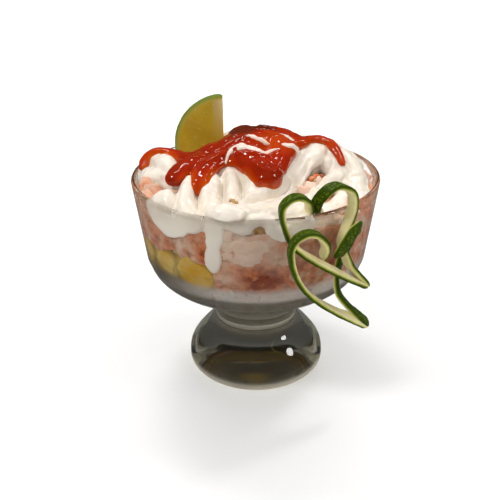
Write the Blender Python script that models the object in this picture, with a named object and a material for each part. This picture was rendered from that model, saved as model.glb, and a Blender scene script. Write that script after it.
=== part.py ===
"""Prawn cocktail in a footed dessert glass, with a lime wedge and two lime-peel hearts.

Lengths are in millimetres and are scaled to metres where a mesh is made. The glass stands on
z = 0 with its axis on z. Azimuth is in degrees from the front (-Y), positive towards +X.
"""

import math
import random

import bmesh
import bpy
from mathutils import Matrix, Vector

MM = 0.001
GAP = 0.3  # between two pieces that touch

# Glass
RIM_RADIUS = 55.0
RIM_HEIGHT = 98.2
WALL = 2.2  # at the rim
CORNER_RADIUS = 51.0  # outside of the bowl where the wall turns under
CORNER_HEIGHT = 61.5
BOWL_FLOOR = 51.5
NECK_RADIUS = 22.8
NECK_HEIGHT = 37.5
STEM_RADIUS = 19.8
FOOT_RADIUS = 33.6
FOOT_FLAT = 31.8  # radius of the flat face it stands on
SIDES = 36

# Filling
HEAP_EDGE = 87.5  # top of the prawns at the wall
HEAP_RISE = 10.0  # and how much higher they are in the middle
HEAP_LUMPS = [(-45, -17, 7.0, 50), (25, -24, 5.0, 40)]  # x, y, height, spread squared
HEAP_GRID = 60.0  # half the side of the square that the heap is cut from
HEADROOM = 60.0  # above the rim, in the shape that trims the filling
FRUIT_TOP = 77.0
CHUNK_RADIUS = 10.0
CHUNK_HEIGHT = 1.2  # times its radius

# Lime wedge, standing on end with its core edge vertical
LIME_RADIUS = 24.0
WEDGE_ANGLE = 58.0
WEDGE_TOP = 127.0
WEDGE_CORE = (-14.5, 22.0)

# Peel strips
PEEL_THICKNESS = 2.3
UPPER_PEEL_WIDTH = 5.0
LOWER_PEEL_WIDTH = 4.6

# Cream strokes, each a run of (x, y, z, radius) from one end to the other
CREAM_STROKES = [
    [(-43, 4, 95, 7), (-42, -3, 96.5, 8), (-36, -10, 97, 7)],
    [(-38, -30, 94, 7.5), (-31, -36, 93.5, 9), (-22, -39, 94, 8), (-12, -42, 94, 7)],
    [(-28, -34, 97, 6.5), (-27.5, -26, 100.5, 4.5), (-27, -20.5, 103.8, 1.8)],
    [(-20, -37, 97, 6.5), (-19, -30, 100.5, 4.5), (-18.5, -26, 103.2, 1.8)],
    [(-9, -37, 95, 8.5), (-9.5, -29, 99.5, 7), (-10, -23.5, 104.5, 3.8), (-10, -20, 107.6, 1.5)],
    [
        (30, 0, 104, 5.5), (22, -13, 103, 6.5), (16, -24, 101, 6.5),
        (8, -33, 98.5, 6), (-2, -39.5, 97, 5.5), (-10, -43, 96, 4.5),
    ],
    [
        (30, 2, 103, 6), (37, -8, 99.5, 6), (40, -17, 96, 6.5), (41, -24, 93, 7), (36, -32, 90, 6),
    ],
    [
        (38, -11, 98, 5.5), (31, -21, 98, 5.2), (25, -30, 96, 5.2), (16, -38, 95, 5.5),
        (8, -43, 94.5, 5.5),
    ],
    [(-19, -43, 93, 5.5), (-8, -46, 94.5, 5.5), (4, -46.5, 95, 5.5), (13, -44, 94.5, 5)],
    [
        (-14, -48, 95, 4), (-18, -47.5, 91, 3.8), (-18, -48, 86, 3.8), (-16, -48.5, 81.5, 4),
        (-17.5, -47, 75.5, 4.6),
    ],
    [
        (40, -2, 95.5, 8), (42, 11, 94, 9.5), (35, 25, 96, 8.5), (25, 37, 94, 10),
        (10, 42, 96, 8.5), (-6, 42, 93.5, 10), (-22, 37, 96, 8.5), (-35, 27, 93.5, 9.5),
        (-42, 14, 95, 8), (-45, 4, 92, 7.5),
    ],
    [(-30, -8, 97, 8), (-16, -12, 99, 9), (0, -14, 100, 9), (14, -8, 100, 9), (26, 2, 99, 8)],
    [(-28, 6, 96, 8.5), (-12, 4, 100, 9), (2, 4, 101, 9), (16, 8, 100, 9), (30, 12, 98, 9)],
    [(-30, 18, 96, 8), (-16, 20, 97, 8.5), (0, 22, 99.5, 9.5), (15, 24, 97, 9), (26, 22, 97, 8)],
    [(-16, 32, 95, 8), (-2, 32, 97, 8), (14, 33, 95, 8)],
]

# Sauce strokes, in the same form; every ball is flattened to this share of its height
SAUCE_FLATNESS = 0.62
SAUCE_STROKES = [
    [
        (-48.5, -1, 100.5, 2.6), (-47, 6, 102.5, 2.8), (-41, 8, 104.3, 3), (-35, 3, 105, 3.4),
        (-29, -6, 105.5, 4), (-23, -12, 106, 5), (-15, -10, 108, 6),
    ],
    [(-22, -13, 105.5, 5), (-29, -16, 104.6, 6), (-34, -19, 102.6, 4.8)],
    [(-12, -13, 107.8, 5), (-18, -20, 105.8, 4.6), (-22, -27, 103.3, 4.2), (-22.5, -31, 101.6, 3)],
    [(-6, -8, 109, 7), (0, -18, 107.6, 7.8), (5.5, -25.5, 105.2, 8), (8, -30, 103.4, 6)],
    [(-20, -2, 107, 6), (-10, 0, 109.5, 7), (-4, 10, 110, 7), (-3, 19, 108.5, 6)],
    [(0, 0, 110, 8), (9, 2, 110, 8), (15, -4, 109.5, 7.5), (11, -12, 108.3, 7.5), (11, -21, 106.6, 6)],
    [(3, 13, 109.8, 7), (12, 12, 109.6, 6.5), (19, 6, 109.3, 6)],
    [
        (17, 2, 109, 6), (24, 7, 108.5, 4.6), (30, 11, 107, 4), (35, 8, 105.5, 3.6),
        (38, 0, 104.2, 3.4), (38.5, -6, 103, 2.8),
    ],
]

# Peel routes, each a run of (azimuth, height, distance outside the wall, turn). At turn 0 the
# strip stands on its edge on the wall, and at turn 90 its broad side lies along the wall.
UPPER_LEFT = [
    (21, 91, -6.2, 0), (24.5, 96.5, -5.8, 0), (22.5, 102.2, -3.8, 0), (19, 105.4, -2, 0),
    (15.5, 106.6, -1, 0), (12, 106, 0.4, 0), (9.7, 104, 2, 0), (9.5, 100.5, 3, 0),
    (10.7, 96, 3.1, 0), (13.2, 89.6, 3.2, 0), (16.5, 86, 4.6, 5), (21, 82.6, 6.8, 10),
    (26, 79, 8.6, 15), (32, 74.4, 9.8, 15), (38, 69.5, 11, 10), (43, 65, 12, 5),
]
UPPER_RIGHT = [
    (28.5, 91, -6.4, 15), (28, 96.5, -6.1, 20), (27.3, 102, -4.4, 35), (28.4, 107, -2.2, 40),
    (30.6, 109.6, -1, 30), (33.5, 110.2, 0, 15), (37, 108.2, 1, 5), (39, 104.6, 2.2, 0),
    (39.4, 100.2, 3, 0), (39, 96, 3.1, 0), (37.4, 90.5, 3.1, 0), (36, 85, 3.3, 0),
    (37, 80, 5, 0), (38, 75.5, 7.6, 0), (41, 70, 10, 0), (44, 65, 12, 0),
]
LOWER_LEFT = [
    (27.6, 80, 3, 10), (27.6, 84.4, 4.2, 10), (25.6, 88.8, 5.8, 5), (21.8, 93.4, 7.2, 0),
    (17.8, 95.4, 8.2, 0), (14, 94.2, 8.6, 0), (12, 90, 8.6, 0), (12.2, 85, 8.6, 0),
    (13.5, 79.4, 8.6, 0), (16, 73.5, 8.8, 0), (19.4, 68.4, 9.2, 0), (24, 63.6, 10, 5),
    (29.6, 58.8, 11, 15), (35.4, 54.4, 12, 30), (41, 50, 13, 45), (46, 46, 13.8, 60),
]
LOWER_RIGHT = [
    (32.4, 80.5, 5.8, 80), (32.4, 84.6, 7.8, 82), (33.2, 89.6, 8.9, 85), (35.2, 93.4, 9.2, 85),
    (38.4, 94, 8.2, 85), (41.4, 91, 5.6, 85), (42.6, 85.4, 3, 85), (41, 79, 1.7, 85),
    (38.2, 73.4, 1.9, 75), (35.6, 69, 4, 60), (34.2, 64.6, 6.8, 45), (36, 60, 9, 30),
    (39, 55.6, 11, 30), (42.6, 50.8, 13, 45), (46.4, 46, 13.8, 60),
]


def clear_scene():
    for obj in list(bpy.data.objects):
        bpy.data.objects.remove(obj, do_unlink=True)


def spline(points, steps):
    """Points along a Catmull-Rom curve through the given points, both ends included."""
    points = [Vector(point) for point in points]
    before = 2 * points[0] - points[1]
    after = 2 * points[-1] - points[-2]
    run = [before, *points, after]
    found = []
    for a, b, c, d in zip(run, run[1:], run[2:], run[3:]):
        for step in range(steps):
            t = step / steps
            bend = 2 * a - 5 * b + 4 * c - d
            twist = 3 * b - a - 3 * c + d
            found.append(0.5 * (2 * b + (c - a) * t + bend * t**2 + twist * t**3))
    return [*found, points[-1]]


def arc(centre, radius, start, end, steps):
    """Points of an arc in the profile plane, angles in degrees from +X."""
    angles = [math.radians(start + (end - start) * step / steps) for step in range(steps + 1)]
    return [Vector((centre[0] + radius * math.cos(a), centre[1] + radius * math.sin(a))) for a in angles]


def wall_radius(height):
    """Outer radius of the bowl's wall, held at its lower end below the corner."""
    share = (max(height, CORNER_HEIGHT) - CORNER_HEIGHT) / (RIM_HEIGHT - CORNER_HEIGHT)
    return CORNER_RADIUS + (RIM_RADIUS - CORNER_RADIUS) * share


def new_object(name, mesh, colour, roughness, transmission=0.0):
    material = bpy.data.materials.new(name)
    material.use_nodes = True
    shader = material.node_tree.nodes["Principled BSDF"]
    shader.inputs["Base Color"].default_value = (*colour, 1.0)
    shader.inputs["Roughness"].default_value = roughness
    shader.inputs["Transmission Weight"].default_value = transmission
    mesh.name = name
    mesh.materials.clear()
    mesh.materials.append(material)
    obj = bpy.data.objects.new(name, mesh)
    bpy.context.scene.collection.objects.link(obj)
    return obj


def helper_object(name, mesh):
    """A cutter: it shapes other pieces and isn't one itself."""
    obj = bpy.data.objects.new(name, mesh)
    bpy.context.scene.collection.objects.link(obj)
    obj.hide_render = True
    obj.display_type = "WIRE"
    return obj


def mesh_from(bm, name):
    bmesh.ops.recalc_face_normals(bm, faces=bm.faces)
    mesh = bpy.data.meshes.new(name)
    bm.to_mesh(mesh)
    bm.free()
    return mesh


def turned_mesh(name, profile):
    """A profile of (radius, height) turned about z. It starts and ends on the axis."""
    bm = bmesh.new()
    rings = []
    for radius, height in profile:
        if radius < 1e-6:
            rings.append([bm.verts.new((0, 0, height * MM))])
            continue
        turns = [2 * math.pi * side / SIDES for side in range(SIDES)]
        rings.append(
            [bm.verts.new((radius * MM * math.cos(a), radius * MM * math.sin(a), height * MM)) for a in turns]
        )
    for low, high in zip(rings, rings[1:]):
        for side in range(SIDES):
            after = (side + 1) % SIDES
            corners = [
                low[side % len(low)], low[after % len(low)], high[after % len(high)], high[side % len(high)],
            ]
            bm.faces.new(list(dict.fromkeys(corners)))
    return mesh_from(bm, name)


def inside_profile(inset):
    """The bowl's inside from the middle of its floor to the rim, moved in by inset."""
    floor = spline(
        [
            (0.0, BOWL_FLOOR), (22.0, BOWL_FLOOR + 0.8), (35.0, 55.2), (44.5, 61.5),
            (CORNER_RADIUS - WALL, 70.0),
        ],
        2,
    )
    rim = Vector((RIM_RADIUS - WALL, RIM_HEIGHT - WALL / 2))
    points = [*floor, rim]
    moved = [Vector((0.0, BOWL_FLOOR + inset))]
    for before, here, after in zip(points, points[1:], points[2:]):
        along = (after - before).normalized()
        moved.append(here + inset * Vector((-along.y, along.x)))
    return [*moved, rim - Vector((inset, 0.0))]


def glass():
    foot = spline(
        [
            (FOOT_FLAT, 0.0), (FOOT_RADIUS, 2.4), (32.6, 8.0), (27.6, 15.0), (21.4, 21.6),
            (STEM_RADIUS, 29.0), (NECK_RADIUS, NECK_HEIGHT),
        ],
        2,
    )
    bowl = spline(
        [(NECK_RADIUS, NECK_HEIGHT), (35.0, 44.9), (47.2, 53.6), (CORNER_RADIUS, CORNER_HEIGHT)], 2
    )
    rim = arc((RIM_RADIUS - WALL / 2, RIM_HEIGHT - WALL / 2), WALL / 2, 0, 180, 4)
    profile = [Vector((0.0, 0.0)), *foot, *bowl[1:], *rim, *inside_profile(0.0)[-2::-1]]
    obj = new_object("glass", turned_mesh("glass", profile), (0.62, 0.62, 0.6), 0.05, 0.9)
    obj.data.shade_smooth()
    obj.data.set_sharp_from_angle(angle=math.radians(40))
    return obj


def hollow():
    """Everything inside the bowl, with its gap, and straight up above the rim."""
    profile = inside_profile(GAP)
    top = RIM_HEIGHT + HEADROOM
    profile += [Vector((profile[-1].x, top)), Vector((0.0, top))]
    return helper_object("hollow", turned_mesh("hollow", profile))


def bake(obj):
    """Apply every modifier."""
    graph = bpy.context.evaluated_depsgraph_get()
    baked = bpy.data.meshes.new_from_object(obj.evaluated_get(graph))
    obj.modifiers.clear()
    obj.data = baked


def join(obj, other, operation, solver="EXACT"):
    modifier = obj.modifiers.new(operation.title(), "BOOLEAN")
    modifier.operation = operation
    modifier.object = other
    modifier.solver = solver
    bake(obj)


def cut(obj, cutter):
    """EXACT leaves many-sided faces on these uneven skins that don't split into a closed mesh."""
    join(obj, cutter, "DIFFERENCE", "MANIFOLD")


def keep_largest(obj):
    """Drop the crumbs that a cut leaves beside the piece itself."""
    bm = bmesh.new()
    bm.from_mesh(obj.data)
    left = set(bm.faces)
    bodies = []
    while left:
        body = {left.pop()}
        edge = list(body)
        while edge:
            near = {face for side in edge.pop().edges for face in side.link_faces} & left
            left -= near
            body |= near
            edge += near
        bodies.append(body)
    bodies.sort(key=lambda body: sum(face.calc_area() for face in body))
    for body in bodies[:-1]:
        bmesh.ops.delete(bm, geom=list(body), context="FACES")
    bmesh.ops.triangulate(bm, faces=bm.faces)
    bm.to_mesh(obj.data)
    bm.free()


def swollen(obj):
    """A cutter that is the piece grown by somewhat more than the gap, as its edges grow less."""
    cutter = helper_object(obj.name + "_swollen", obj.data.copy())
    cutter.location = obj.location
    grow = cutter.modifiers.new("Grow", "DISPLACE")
    grow.mid_level = 0.0
    grow.strength = 1.8 * GAP * MM
    bake(cutter)
    return cutter


def soft_mesh(name, strokes, flatness, voxel, triangles):
    """Balls strung along the strokes, melted into one smooth skin."""
    bm = bmesh.new()
    for stroke in strokes:
        for x, y, z, radius in spline(stroke, 5):
            place = Matrix.Translation(Vector((x, y, z)) * MM) @ Matrix.Diagonal((1, 1, flatness, 1))
            bmesh.ops.create_icosphere(bm, subdivisions=2, radius=radius * MM, matrix=place)
    obj = helper_object(name, mesh_from(bm, name))
    remesh = obj.modifiers.new("Melt", "REMESH")
    remesh.mode = "VOXEL"
    remesh.voxel_size = voxel * MM
    smooth = obj.modifiers.new("Smooth", "SMOOTH")
    smooth.factor = 0.5
    smooth.iterations = 8
    bake(obj)
    thin = obj.modifiers.new("Thin", "DECIMATE")
    thin.ratio = triangles / (2 * len(obj.data.polygons))
    ease = obj.modifiers.new("Ease", "SMOOTH")
    ease.factor = 0.5
    ease.iterations = 2
    bake(obj)
    mesh = obj.data
    bpy.data.objects.remove(obj)
    return mesh


def cream():
    mesh = soft_mesh("cream_topping", CREAM_STROKES, 1.0, 1.5, 1200)
    return new_object("cream_topping", mesh, (0.92, 0.86, 0.72), 0.35)


def sauce():
    mesh = soft_mesh("cocktail_sauce", SAUCE_STROKES, SAUCE_FLATNESS, 0.9, 760)
    return new_object("cocktail_sauce", mesh, (0.55, 0.06, 0.02), 0.15)


def fruit():
    """Yellow chunks that lie together on the floor of the bowl, on its left and at its back."""
    shake = random.Random(7)
    rings = []
    for reach, count, first in ((43, 13, -30), (32, 10, -24), (20, 7, -20), (7, 3, -60)):
        ring = []
        for step in range(count):
            azimuth = math.radians(first - step * 260 / count)
            height = FRUIT_TOP - CHUNK_HEIGHT * CHUNK_RADIUS + shake.uniform(-1.5, 1.5)
            radius = CHUNK_RADIUS + shake.uniform(-1, 1)
            ring.append((reach * math.sin(azimuth), -reach * math.cos(azimuth), height, radius))
        rings.append(ring)
    mesh = soft_mesh("fruit_layer", rings, CHUNK_HEIGHT, 1.6, 280)
    return new_object("fruit_layer", mesh, (0.62, 0.4, 0.08), 0.4)


def heap_height(x, y):
    """Top of the prawns: a low dome, lumpy, with two lumps that stand out of the cream."""
    spread = (x * x + y * y) / RIM_RADIUS**2
    height = HEAP_EDGE + HEAP_RISE * (1 - spread)
    height += 0.9 * math.sin(0.33 * x + 1.0) * math.cos(0.29 * y) + 0.6 * math.sin(0.21 * (x - y))
    for lump_x, lump_y, rise, reach in HEAP_LUMPS:
        height += rise * math.exp(-((x - lump_x) ** 2 + (y - lump_y) ** 2) / reach)
    return height


def prawns(inside):
    """The heap of chopped prawns, from the floor of the bowl to its lumpy top."""
    bm = bmesh.new()
    bmesh.ops.create_grid(bm, x_segments=15, y_segments=15, size=HEAP_GRID * MM)
    top = list(bm.faces)
    for vert in bm.verts:
        vert.co.z = heap_height(vert.co.x / MM, vert.co.y / MM) * MM
    walls = bmesh.ops.extrude_face_region(bm, geom=top)
    for vert in [item for item in walls["geom"] if isinstance(item, bmesh.types.BMVert)]:
        vert.co.z = NECK_HEIGHT * MM
    obj = new_object("prawn_filling", mesh_from(bm, "prawn_filling"), (0.6, 0.32, 0.22), 0.5)
    join(obj, inside, "INTERSECT", "MANIFOLD")
    return obj


def lime_wedge():
    """A lengthwise wedge: half a round outline turned about its core by the wedge's angle."""
    steps, turns = 14, 5
    bm = bmesh.new()
    outline = [
        Vector((-LIME_RADIUS * math.sin(a) * MM, 0, LIME_RADIUS * math.cos(a) * MM))
        for a in (math.pi * step / steps for step in range(steps + 1))
    ]
    fans = []
    for turn in range(turns + 1):
        back = Matrix.Rotation(-math.radians(WEDGE_ANGLE) * turn / turns, 3, "Z")
        fans.append([bm.verts.new(back @ point) for point in outline[1:-1]])
    top, bottom = bm.verts.new(outline[0]), bm.verts.new(outline[-1])
    for first, second in zip(fans, fans[1:]):
        bm.faces.new((top, second[0], first[0]))
        bm.faces.new((bottom, first[-1], second[-1]))
        for a, b, c, d in zip(first, second, second[1:], first[1:]):
            bm.faces.new((a, b, c, d))
    bm.faces.new([top, *fans[0], bottom])
    bm.faces.new([bottom, *reversed(fans[-1]), top])
    bmesh.ops.triangulate(bm, faces=bm.faces)
    obj = new_object("lime_wedge", mesh_from(bm, "lime_wedge"), (0.3, 0.32, 0.07), 0.3)
    obj.location = Vector((*WEDGE_CORE, WEDGE_TOP - LIME_RADIUS)) * MM
    return obj


def strip_mesh(name, route, width):
    """A flat strip of peel swept along its route."""
    rings = []
    bm = bmesh.new()
    stations = []
    for azimuth, height, standoff, turn in spline(route, 2):
        angle = math.radians(azimuth)
        out = Vector((math.sin(angle), -math.cos(angle), 0))
        place = out * (wall_radius(height) + standoff) + Vector((0, 0, height))
        stations.append((place, out, math.radians(turn)))
    for index, (place, out, turn) in enumerate(stations):
        before = stations[max(index - 1, 0)][0]
        after = stations[min(index + 1, len(stations) - 1)][0]
        along = (after - before).normalized()
        edgewise = (out - out.dot(along) * along).normalized()
        flatwise = along.cross(edgewise)
        broad = edgewise * math.cos(turn) + flatwise * math.sin(turn)
        half = broad * width / 2
        rise = along.cross(broad) * PEEL_THICKNESS / 2
        corners = [place - half - rise, place + half - rise, place + half + rise, place - half + rise]
        rings.append([bm.verts.new(corner * MM) for corner in corners])
    for first, second in zip(rings, rings[1:]):
        for a in range(4):
            bm.faces.new((first[a], first[(a + 1) % 4], second[(a + 1) % 4], second[a]))
    bm.faces.new(rings[0][::-1])
    bm.faces.new(rings[-1])
    bmesh.ops.triangulate(bm, faces=bm.faces)
    return mesh_from(bm, name)


def peel_heart(name, left, right, width):
    """Two strips that part at the heart's point and curl over towards each other."""
    obj = new_object(name, strip_mesh(name, left, width), (0.12, 0.22, 0.03), 0.4)
    other = helper_object(name + "_right", strip_mesh(name + "_right", right, width))
    join(obj, other, "UNION")
    bpy.data.objects.remove(other)
    keep_largest(obj)
    return obj


def build():
    clear_scene()
    glass()
    inside = hollow()
    wedge = lime_wedge()
    upper = peel_heart("peel_heart_upper", UPPER_LEFT, UPPER_RIGHT, UPPER_PEEL_WIDTH)
    peel_heart("peel_heart_lower", LOWER_LEFT, LOWER_RIGHT, LOWER_PEEL_WIDTH)
    garnish = [swollen(wedge), swollen(upper)]
    topping, chunks, heap, red = cream(), fruit(), prawns(inside), sauce()
    for soft in (topping, chunks, red):
        join(soft, inside, "INTERSECT", "MANIFOLD")
    for soft in (topping, heap, red):
        for cutter in garnish:
            cut(soft, cutter)
    keep_largest(topping)
    keep_largest(chunks)
    grown_cream, grown_fruit = swollen(topping), swollen(chunks)
    cut(heap, grown_cream)
    cut(heap, grown_fruit)
    keep_largest(heap)
    grown_heap = swollen(heap)
    cut(red, grown_cream)
    cut(red, grown_heap)
    keep_largest(red)
    for cutter in [*garnish, grown_cream, grown_fruit, grown_heap, inside]:
        bpy.data.objects.remove(cutter)


build()
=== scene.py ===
import math
import random

import bpy
import numpy as np
from mathutils import Matrix, Vector
from mathutils.bvhtree import BVHTree


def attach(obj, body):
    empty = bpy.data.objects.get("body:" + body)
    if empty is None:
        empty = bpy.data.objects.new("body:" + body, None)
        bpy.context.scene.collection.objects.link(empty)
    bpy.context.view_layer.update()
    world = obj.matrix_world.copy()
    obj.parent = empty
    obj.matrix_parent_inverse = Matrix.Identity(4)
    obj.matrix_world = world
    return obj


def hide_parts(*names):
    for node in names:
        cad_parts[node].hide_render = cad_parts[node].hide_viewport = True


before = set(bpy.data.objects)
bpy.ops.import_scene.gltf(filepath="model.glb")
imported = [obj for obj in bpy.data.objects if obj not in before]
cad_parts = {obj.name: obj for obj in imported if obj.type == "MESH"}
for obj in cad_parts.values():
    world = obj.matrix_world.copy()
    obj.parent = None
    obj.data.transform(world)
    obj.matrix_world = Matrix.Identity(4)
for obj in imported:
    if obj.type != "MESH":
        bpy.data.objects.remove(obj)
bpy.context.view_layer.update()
mm = 0.001  # the settings below are in millimetres
sameSpot = 1e-6  # two points nearer than this are one
ballSteps = 7  # balls from one point of a stroke to the next
swirlSteps = 9  # and along the finer strokes on the sauce


# small tools for meshes

def pick(obj):
    # one object selected and active
    bpy.ops.object.select_all(action="DESELECT")
    obj.select_set(True)
    bpy.context.view_layer.objects.active = obj


def joinAll(parts):
    # the first part takes in the others
    pick(parts[0])
    for part in parts[1:]:
        part.select_set(True)
    bpy.ops.object.join()
    return bpy.context.active_object


def callIt(obj, name):
    obj.name = name
    obj.data.name = name


def addPrimitive(kind, name, **settings):
    # a new primitive, its place moved into its mesh
    bpy.ops.object.select_all(action="DESELECT")
    getattr(bpy.ops.mesh, "primitive_" + kind + "_add")(**settings)
    obj = bpy.context.active_object
    callIt(obj, name)
    bpy.ops.object.transform_apply(location=True, rotation=True, scale=True)
    return obj


def shapeWith(obj, kind, **settings):
    # adds one modifier and applies it at once
    pick(obj)
    modifier = obj.modifiers.new(kind.title(), kind)
    for key, value in settings.items():
        setattr(modifier, key, value)
    bpy.ops.object.modifier_apply(modifier=modifier.name)


def wobble(obj, reliefs, depth=2, unit=mm):
    # soft uneven relief, each of its own size and strength
    for size, strength in reliefs:
        texture = bpy.data.textures.new(obj.name + "Relief", "CLOUDS")
        texture.noise_scale = size * unit
        texture.noise_depth = depth
        settings = {"mid_level": 0.5, "texture_coords": "LOCAL"}
        shapeWith(obj, "DISPLACE", texture=texture, strength=strength * unit, **settings)


def meltSkin(obj, voxel, smoothing=0):
    # one skin round everything that overlaps
    shapeWith(obj, "REMESH", mode="VOXEL", voxel_size=voxel * mm)
    if smoothing:
        shapeWith(obj, "SMOOTH", factor=0.5, iterations=smoothing)


def skinVoxel(build):
    return build["voxel"] * 1


def moveTo(x, y, z):
    return Matrix.Translation(Vector((x, y, z)) * mm)


def copyAll(bases, name, places):
    # each place is (which base, its matrix, numbers it carries); the copies become one piece, the bases go
    made = []
    for which, matrix, numbers in places:
        twin = bases[which].copy()
        twin.data = bases[which].data.copy()
        twin.data.transform(matrix)
        for key, value in numbers.items():
            writeValues(twin, key, np.full(len(twin.data.vertices), value))
        bpy.context.collection.objects.link(twin)
        made.append(twin)
    obj = joinAll(made)
    for base in bases:
        bpy.data.objects.remove(base, do_unlink=True)
    callIt(obj, name)
    return obj


def ballsAt(name, matrices, subdivisions=3):
    # a ball of one millimetre's radius at each matrix, all in one piece
    base = addPrimitive("ico_sphere", name + "Ball", subdivisions=subdivisions, radius=mm)
    return copyAll([base], name, [(0, matrix, {}) for matrix in matrices])


def meltStrokes(name, strokes, voxel, smoothing):
    # balls strung along the strokes, melted into one skin
    matrices = []
    for stroke in strokes:
        for x, y, z, radius in smoothRun(stroke, ballSteps):
            matrices.append(moveTo(x, y, z) @ Matrix.Scale(radius, 4))
    obj = ballsAt(name, matrices)
    meltSkin(obj, voxel, smoothing)
    return obj


def readPoints(obj):
    found = np.empty(len(obj.data.vertices) * 3, np.float64)
    obj.data.vertices.foreach_get("co", found)
    return found.reshape(-1, 3)


def writePoints(obj, points):
    obj.data.vertices.foreach_set("co", points.astype(np.float32).ravel())
    obj.data.update()


def writeValues(obj, name, values):
    # a number for each vertex, which a material can read
    attribute = obj.data.attributes.get(name) or obj.data.attributes.new(name, "FLOAT", "POINT")
    attribute.data.foreach_set("value", np.asarray(values, np.float32))


def readValues(obj, name):
    found = np.empty(len(obj.data.vertices), np.float32)
    obj.data.attributes[name].data.foreach_get("value", found)
    return found


def smoothRun(points, steps):
    # points along a soft curve through the given ones, of any number of values each
    points = [np.array(point, float) for point in points]
    run = [2 * points[0] - points[1], *points, 2 * points[-1] - points[-2]]
    found = []
    for a, b, c, d in zip(run, run[1:], run[2:], run[3:]):
        for step in range(steps):
            t = step / steps
            bend = 2 * a - 5 * b + 4 * c - d
            twist = 3 * b - a - 3 * c + d
            found.append(0.5 * (2 * b + (c - a) * t + bend * t**2 + twist * t**3))
    return [*found, points[-1]]


def azimuthOf(points):
    # degrees round the glass: 0 at the front, and more to the right
    return np.degrees(np.arctan2(points[:, 0], -points[:, 1]))


def hump(value, middle, spread):
    # the exponent of a soft hump; two added make a soft spot
    return -(((value - middle) / spread) ** 2)


def finishPiece(obj, material, slotName, *nodes, angle=None):
    # material, smooth shading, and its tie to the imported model
    obj.data.materials.clear()
    obj.data.materials.append(material)
    pick(obj)
    if angle is None:
        bpy.ops.object.shade_smooth()
    else:
        bpy.ops.object.shade_smooth_by_angle(angle=math.radians(angle))
    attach(obj, "root")
    if nodes:
        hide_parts(*nodes)


# small tools for materials

def newFinish(name):
    material = bpy.data.materials.new(name)
    material.use_nodes = True
    return material, material.node_tree, material.node_tree.nodes["Principled BSDF"]


def feed(socket, value):
    # a link from another socket, or a plain value; a colour is three numbers
    if isinstance(value, bpy.types.NodeSocket):
        socket.id_data.links.new(value, socket)
    elif socket.type == "RGBA":
        socket.default_value = (*value, 1.0)
    else:
        socket.default_value = value


def setShader(shader, **values):
    for key, value in values.items():
        feed(shader.inputs[key.replace("_", " ")], value)


def addNode(tree, kind, **values):
    # values go to inputs of that name, or else to the node's own settings
    node = tree.nodes.new("ShaderNode" + kind)
    for key, value in values.items():
        name = key.replace("_", " ")
        if name in node.inputs:
            feed(node.inputs[name], value)
        else:
            setattr(node, key, value)
    return node


def objectPlace(tree):
    return addNode(tree, "TexCoord").outputs["Object"]


def axisOf(tree, vector, axis):
    return addNode(tree, "SeparateXYZ", Vector=vector).outputs[axis]


def numberOn(tree, name):
    # what writeValues left on the mesh
    return addNode(tree, "Attribute", attribute_name=name).outputs["Fac"]


def calc(tree, operation, *values):
    # each value is a socket or a number
    node = addNode(tree, "Math", operation=operation)
    for socket, value in zip(node.inputs, values):
        feed(socket, value)
    return node.outputs[0]


def vectorCalc(tree, operation, *values):
    # each value is a socket or three numbers
    node = addNode(tree, "VectorMath", operation=operation)
    for socket, value in zip(node.inputs, values):
        feed(socket, value)
    return node.outputs["Value" if operation == "LENGTH" else "Vector"]


def remap(tree, value, start, end, low=0.0, high=1.0, **settings):
    # low where the value is at its start, high at its end
    limits = {"From_Min": start, "From_Max": end, "To_Min": low, "To_Max": high}
    return addNode(tree, "MapRange", Value=value, **limits, **settings).outputs[0]


def ramp(tree, factor, stops):
    # a colour ramp fed by factor; stops are (place, colour or number)
    node = addNode(tree, "ValToRGB", Fac=factor)
    marks = node.color_ramp.elements
    while len(marks) < len(stops):
        marks.new(0.5)
    for mark, (place, colour) in zip(marks, stops):
        mark.position = place
        mark.color = (*colour, 1.0) if isinstance(colour, tuple) else (colour, colour, colour, 1.0)
    return node.outputs["Color"]


def mixColour(tree, factor, first, second, blend="MIX"):
    # factor, first and second are sockets or plain values
    node = addNode(tree, "Mix", data_type="RGBA", blend_type=blend)
    for number, value in ((0, factor), (6, first), (7, second)):
        feed(node.inputs[number], value)
    return node.outputs[2]


def noiseOn(tree, vector, scale, detail=3.0, roughness=0.5):
    settings = {"Scale": scale, "Detail": detail, "Roughness": roughness}
    return addNode(tree, "TexNoise", Vector=vector, **settings).outputs["Fac"]


def bumpFrom(tree, height, strength, distance, normal=None):
    node = addNode(tree, "Bump", Height=height, Strength=strength, Distance=distance * mm)
    if normal is not None:
        feed(node.inputs["Normal"], normal)
    return node.outputs["Normal"]


# the glass

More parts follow.
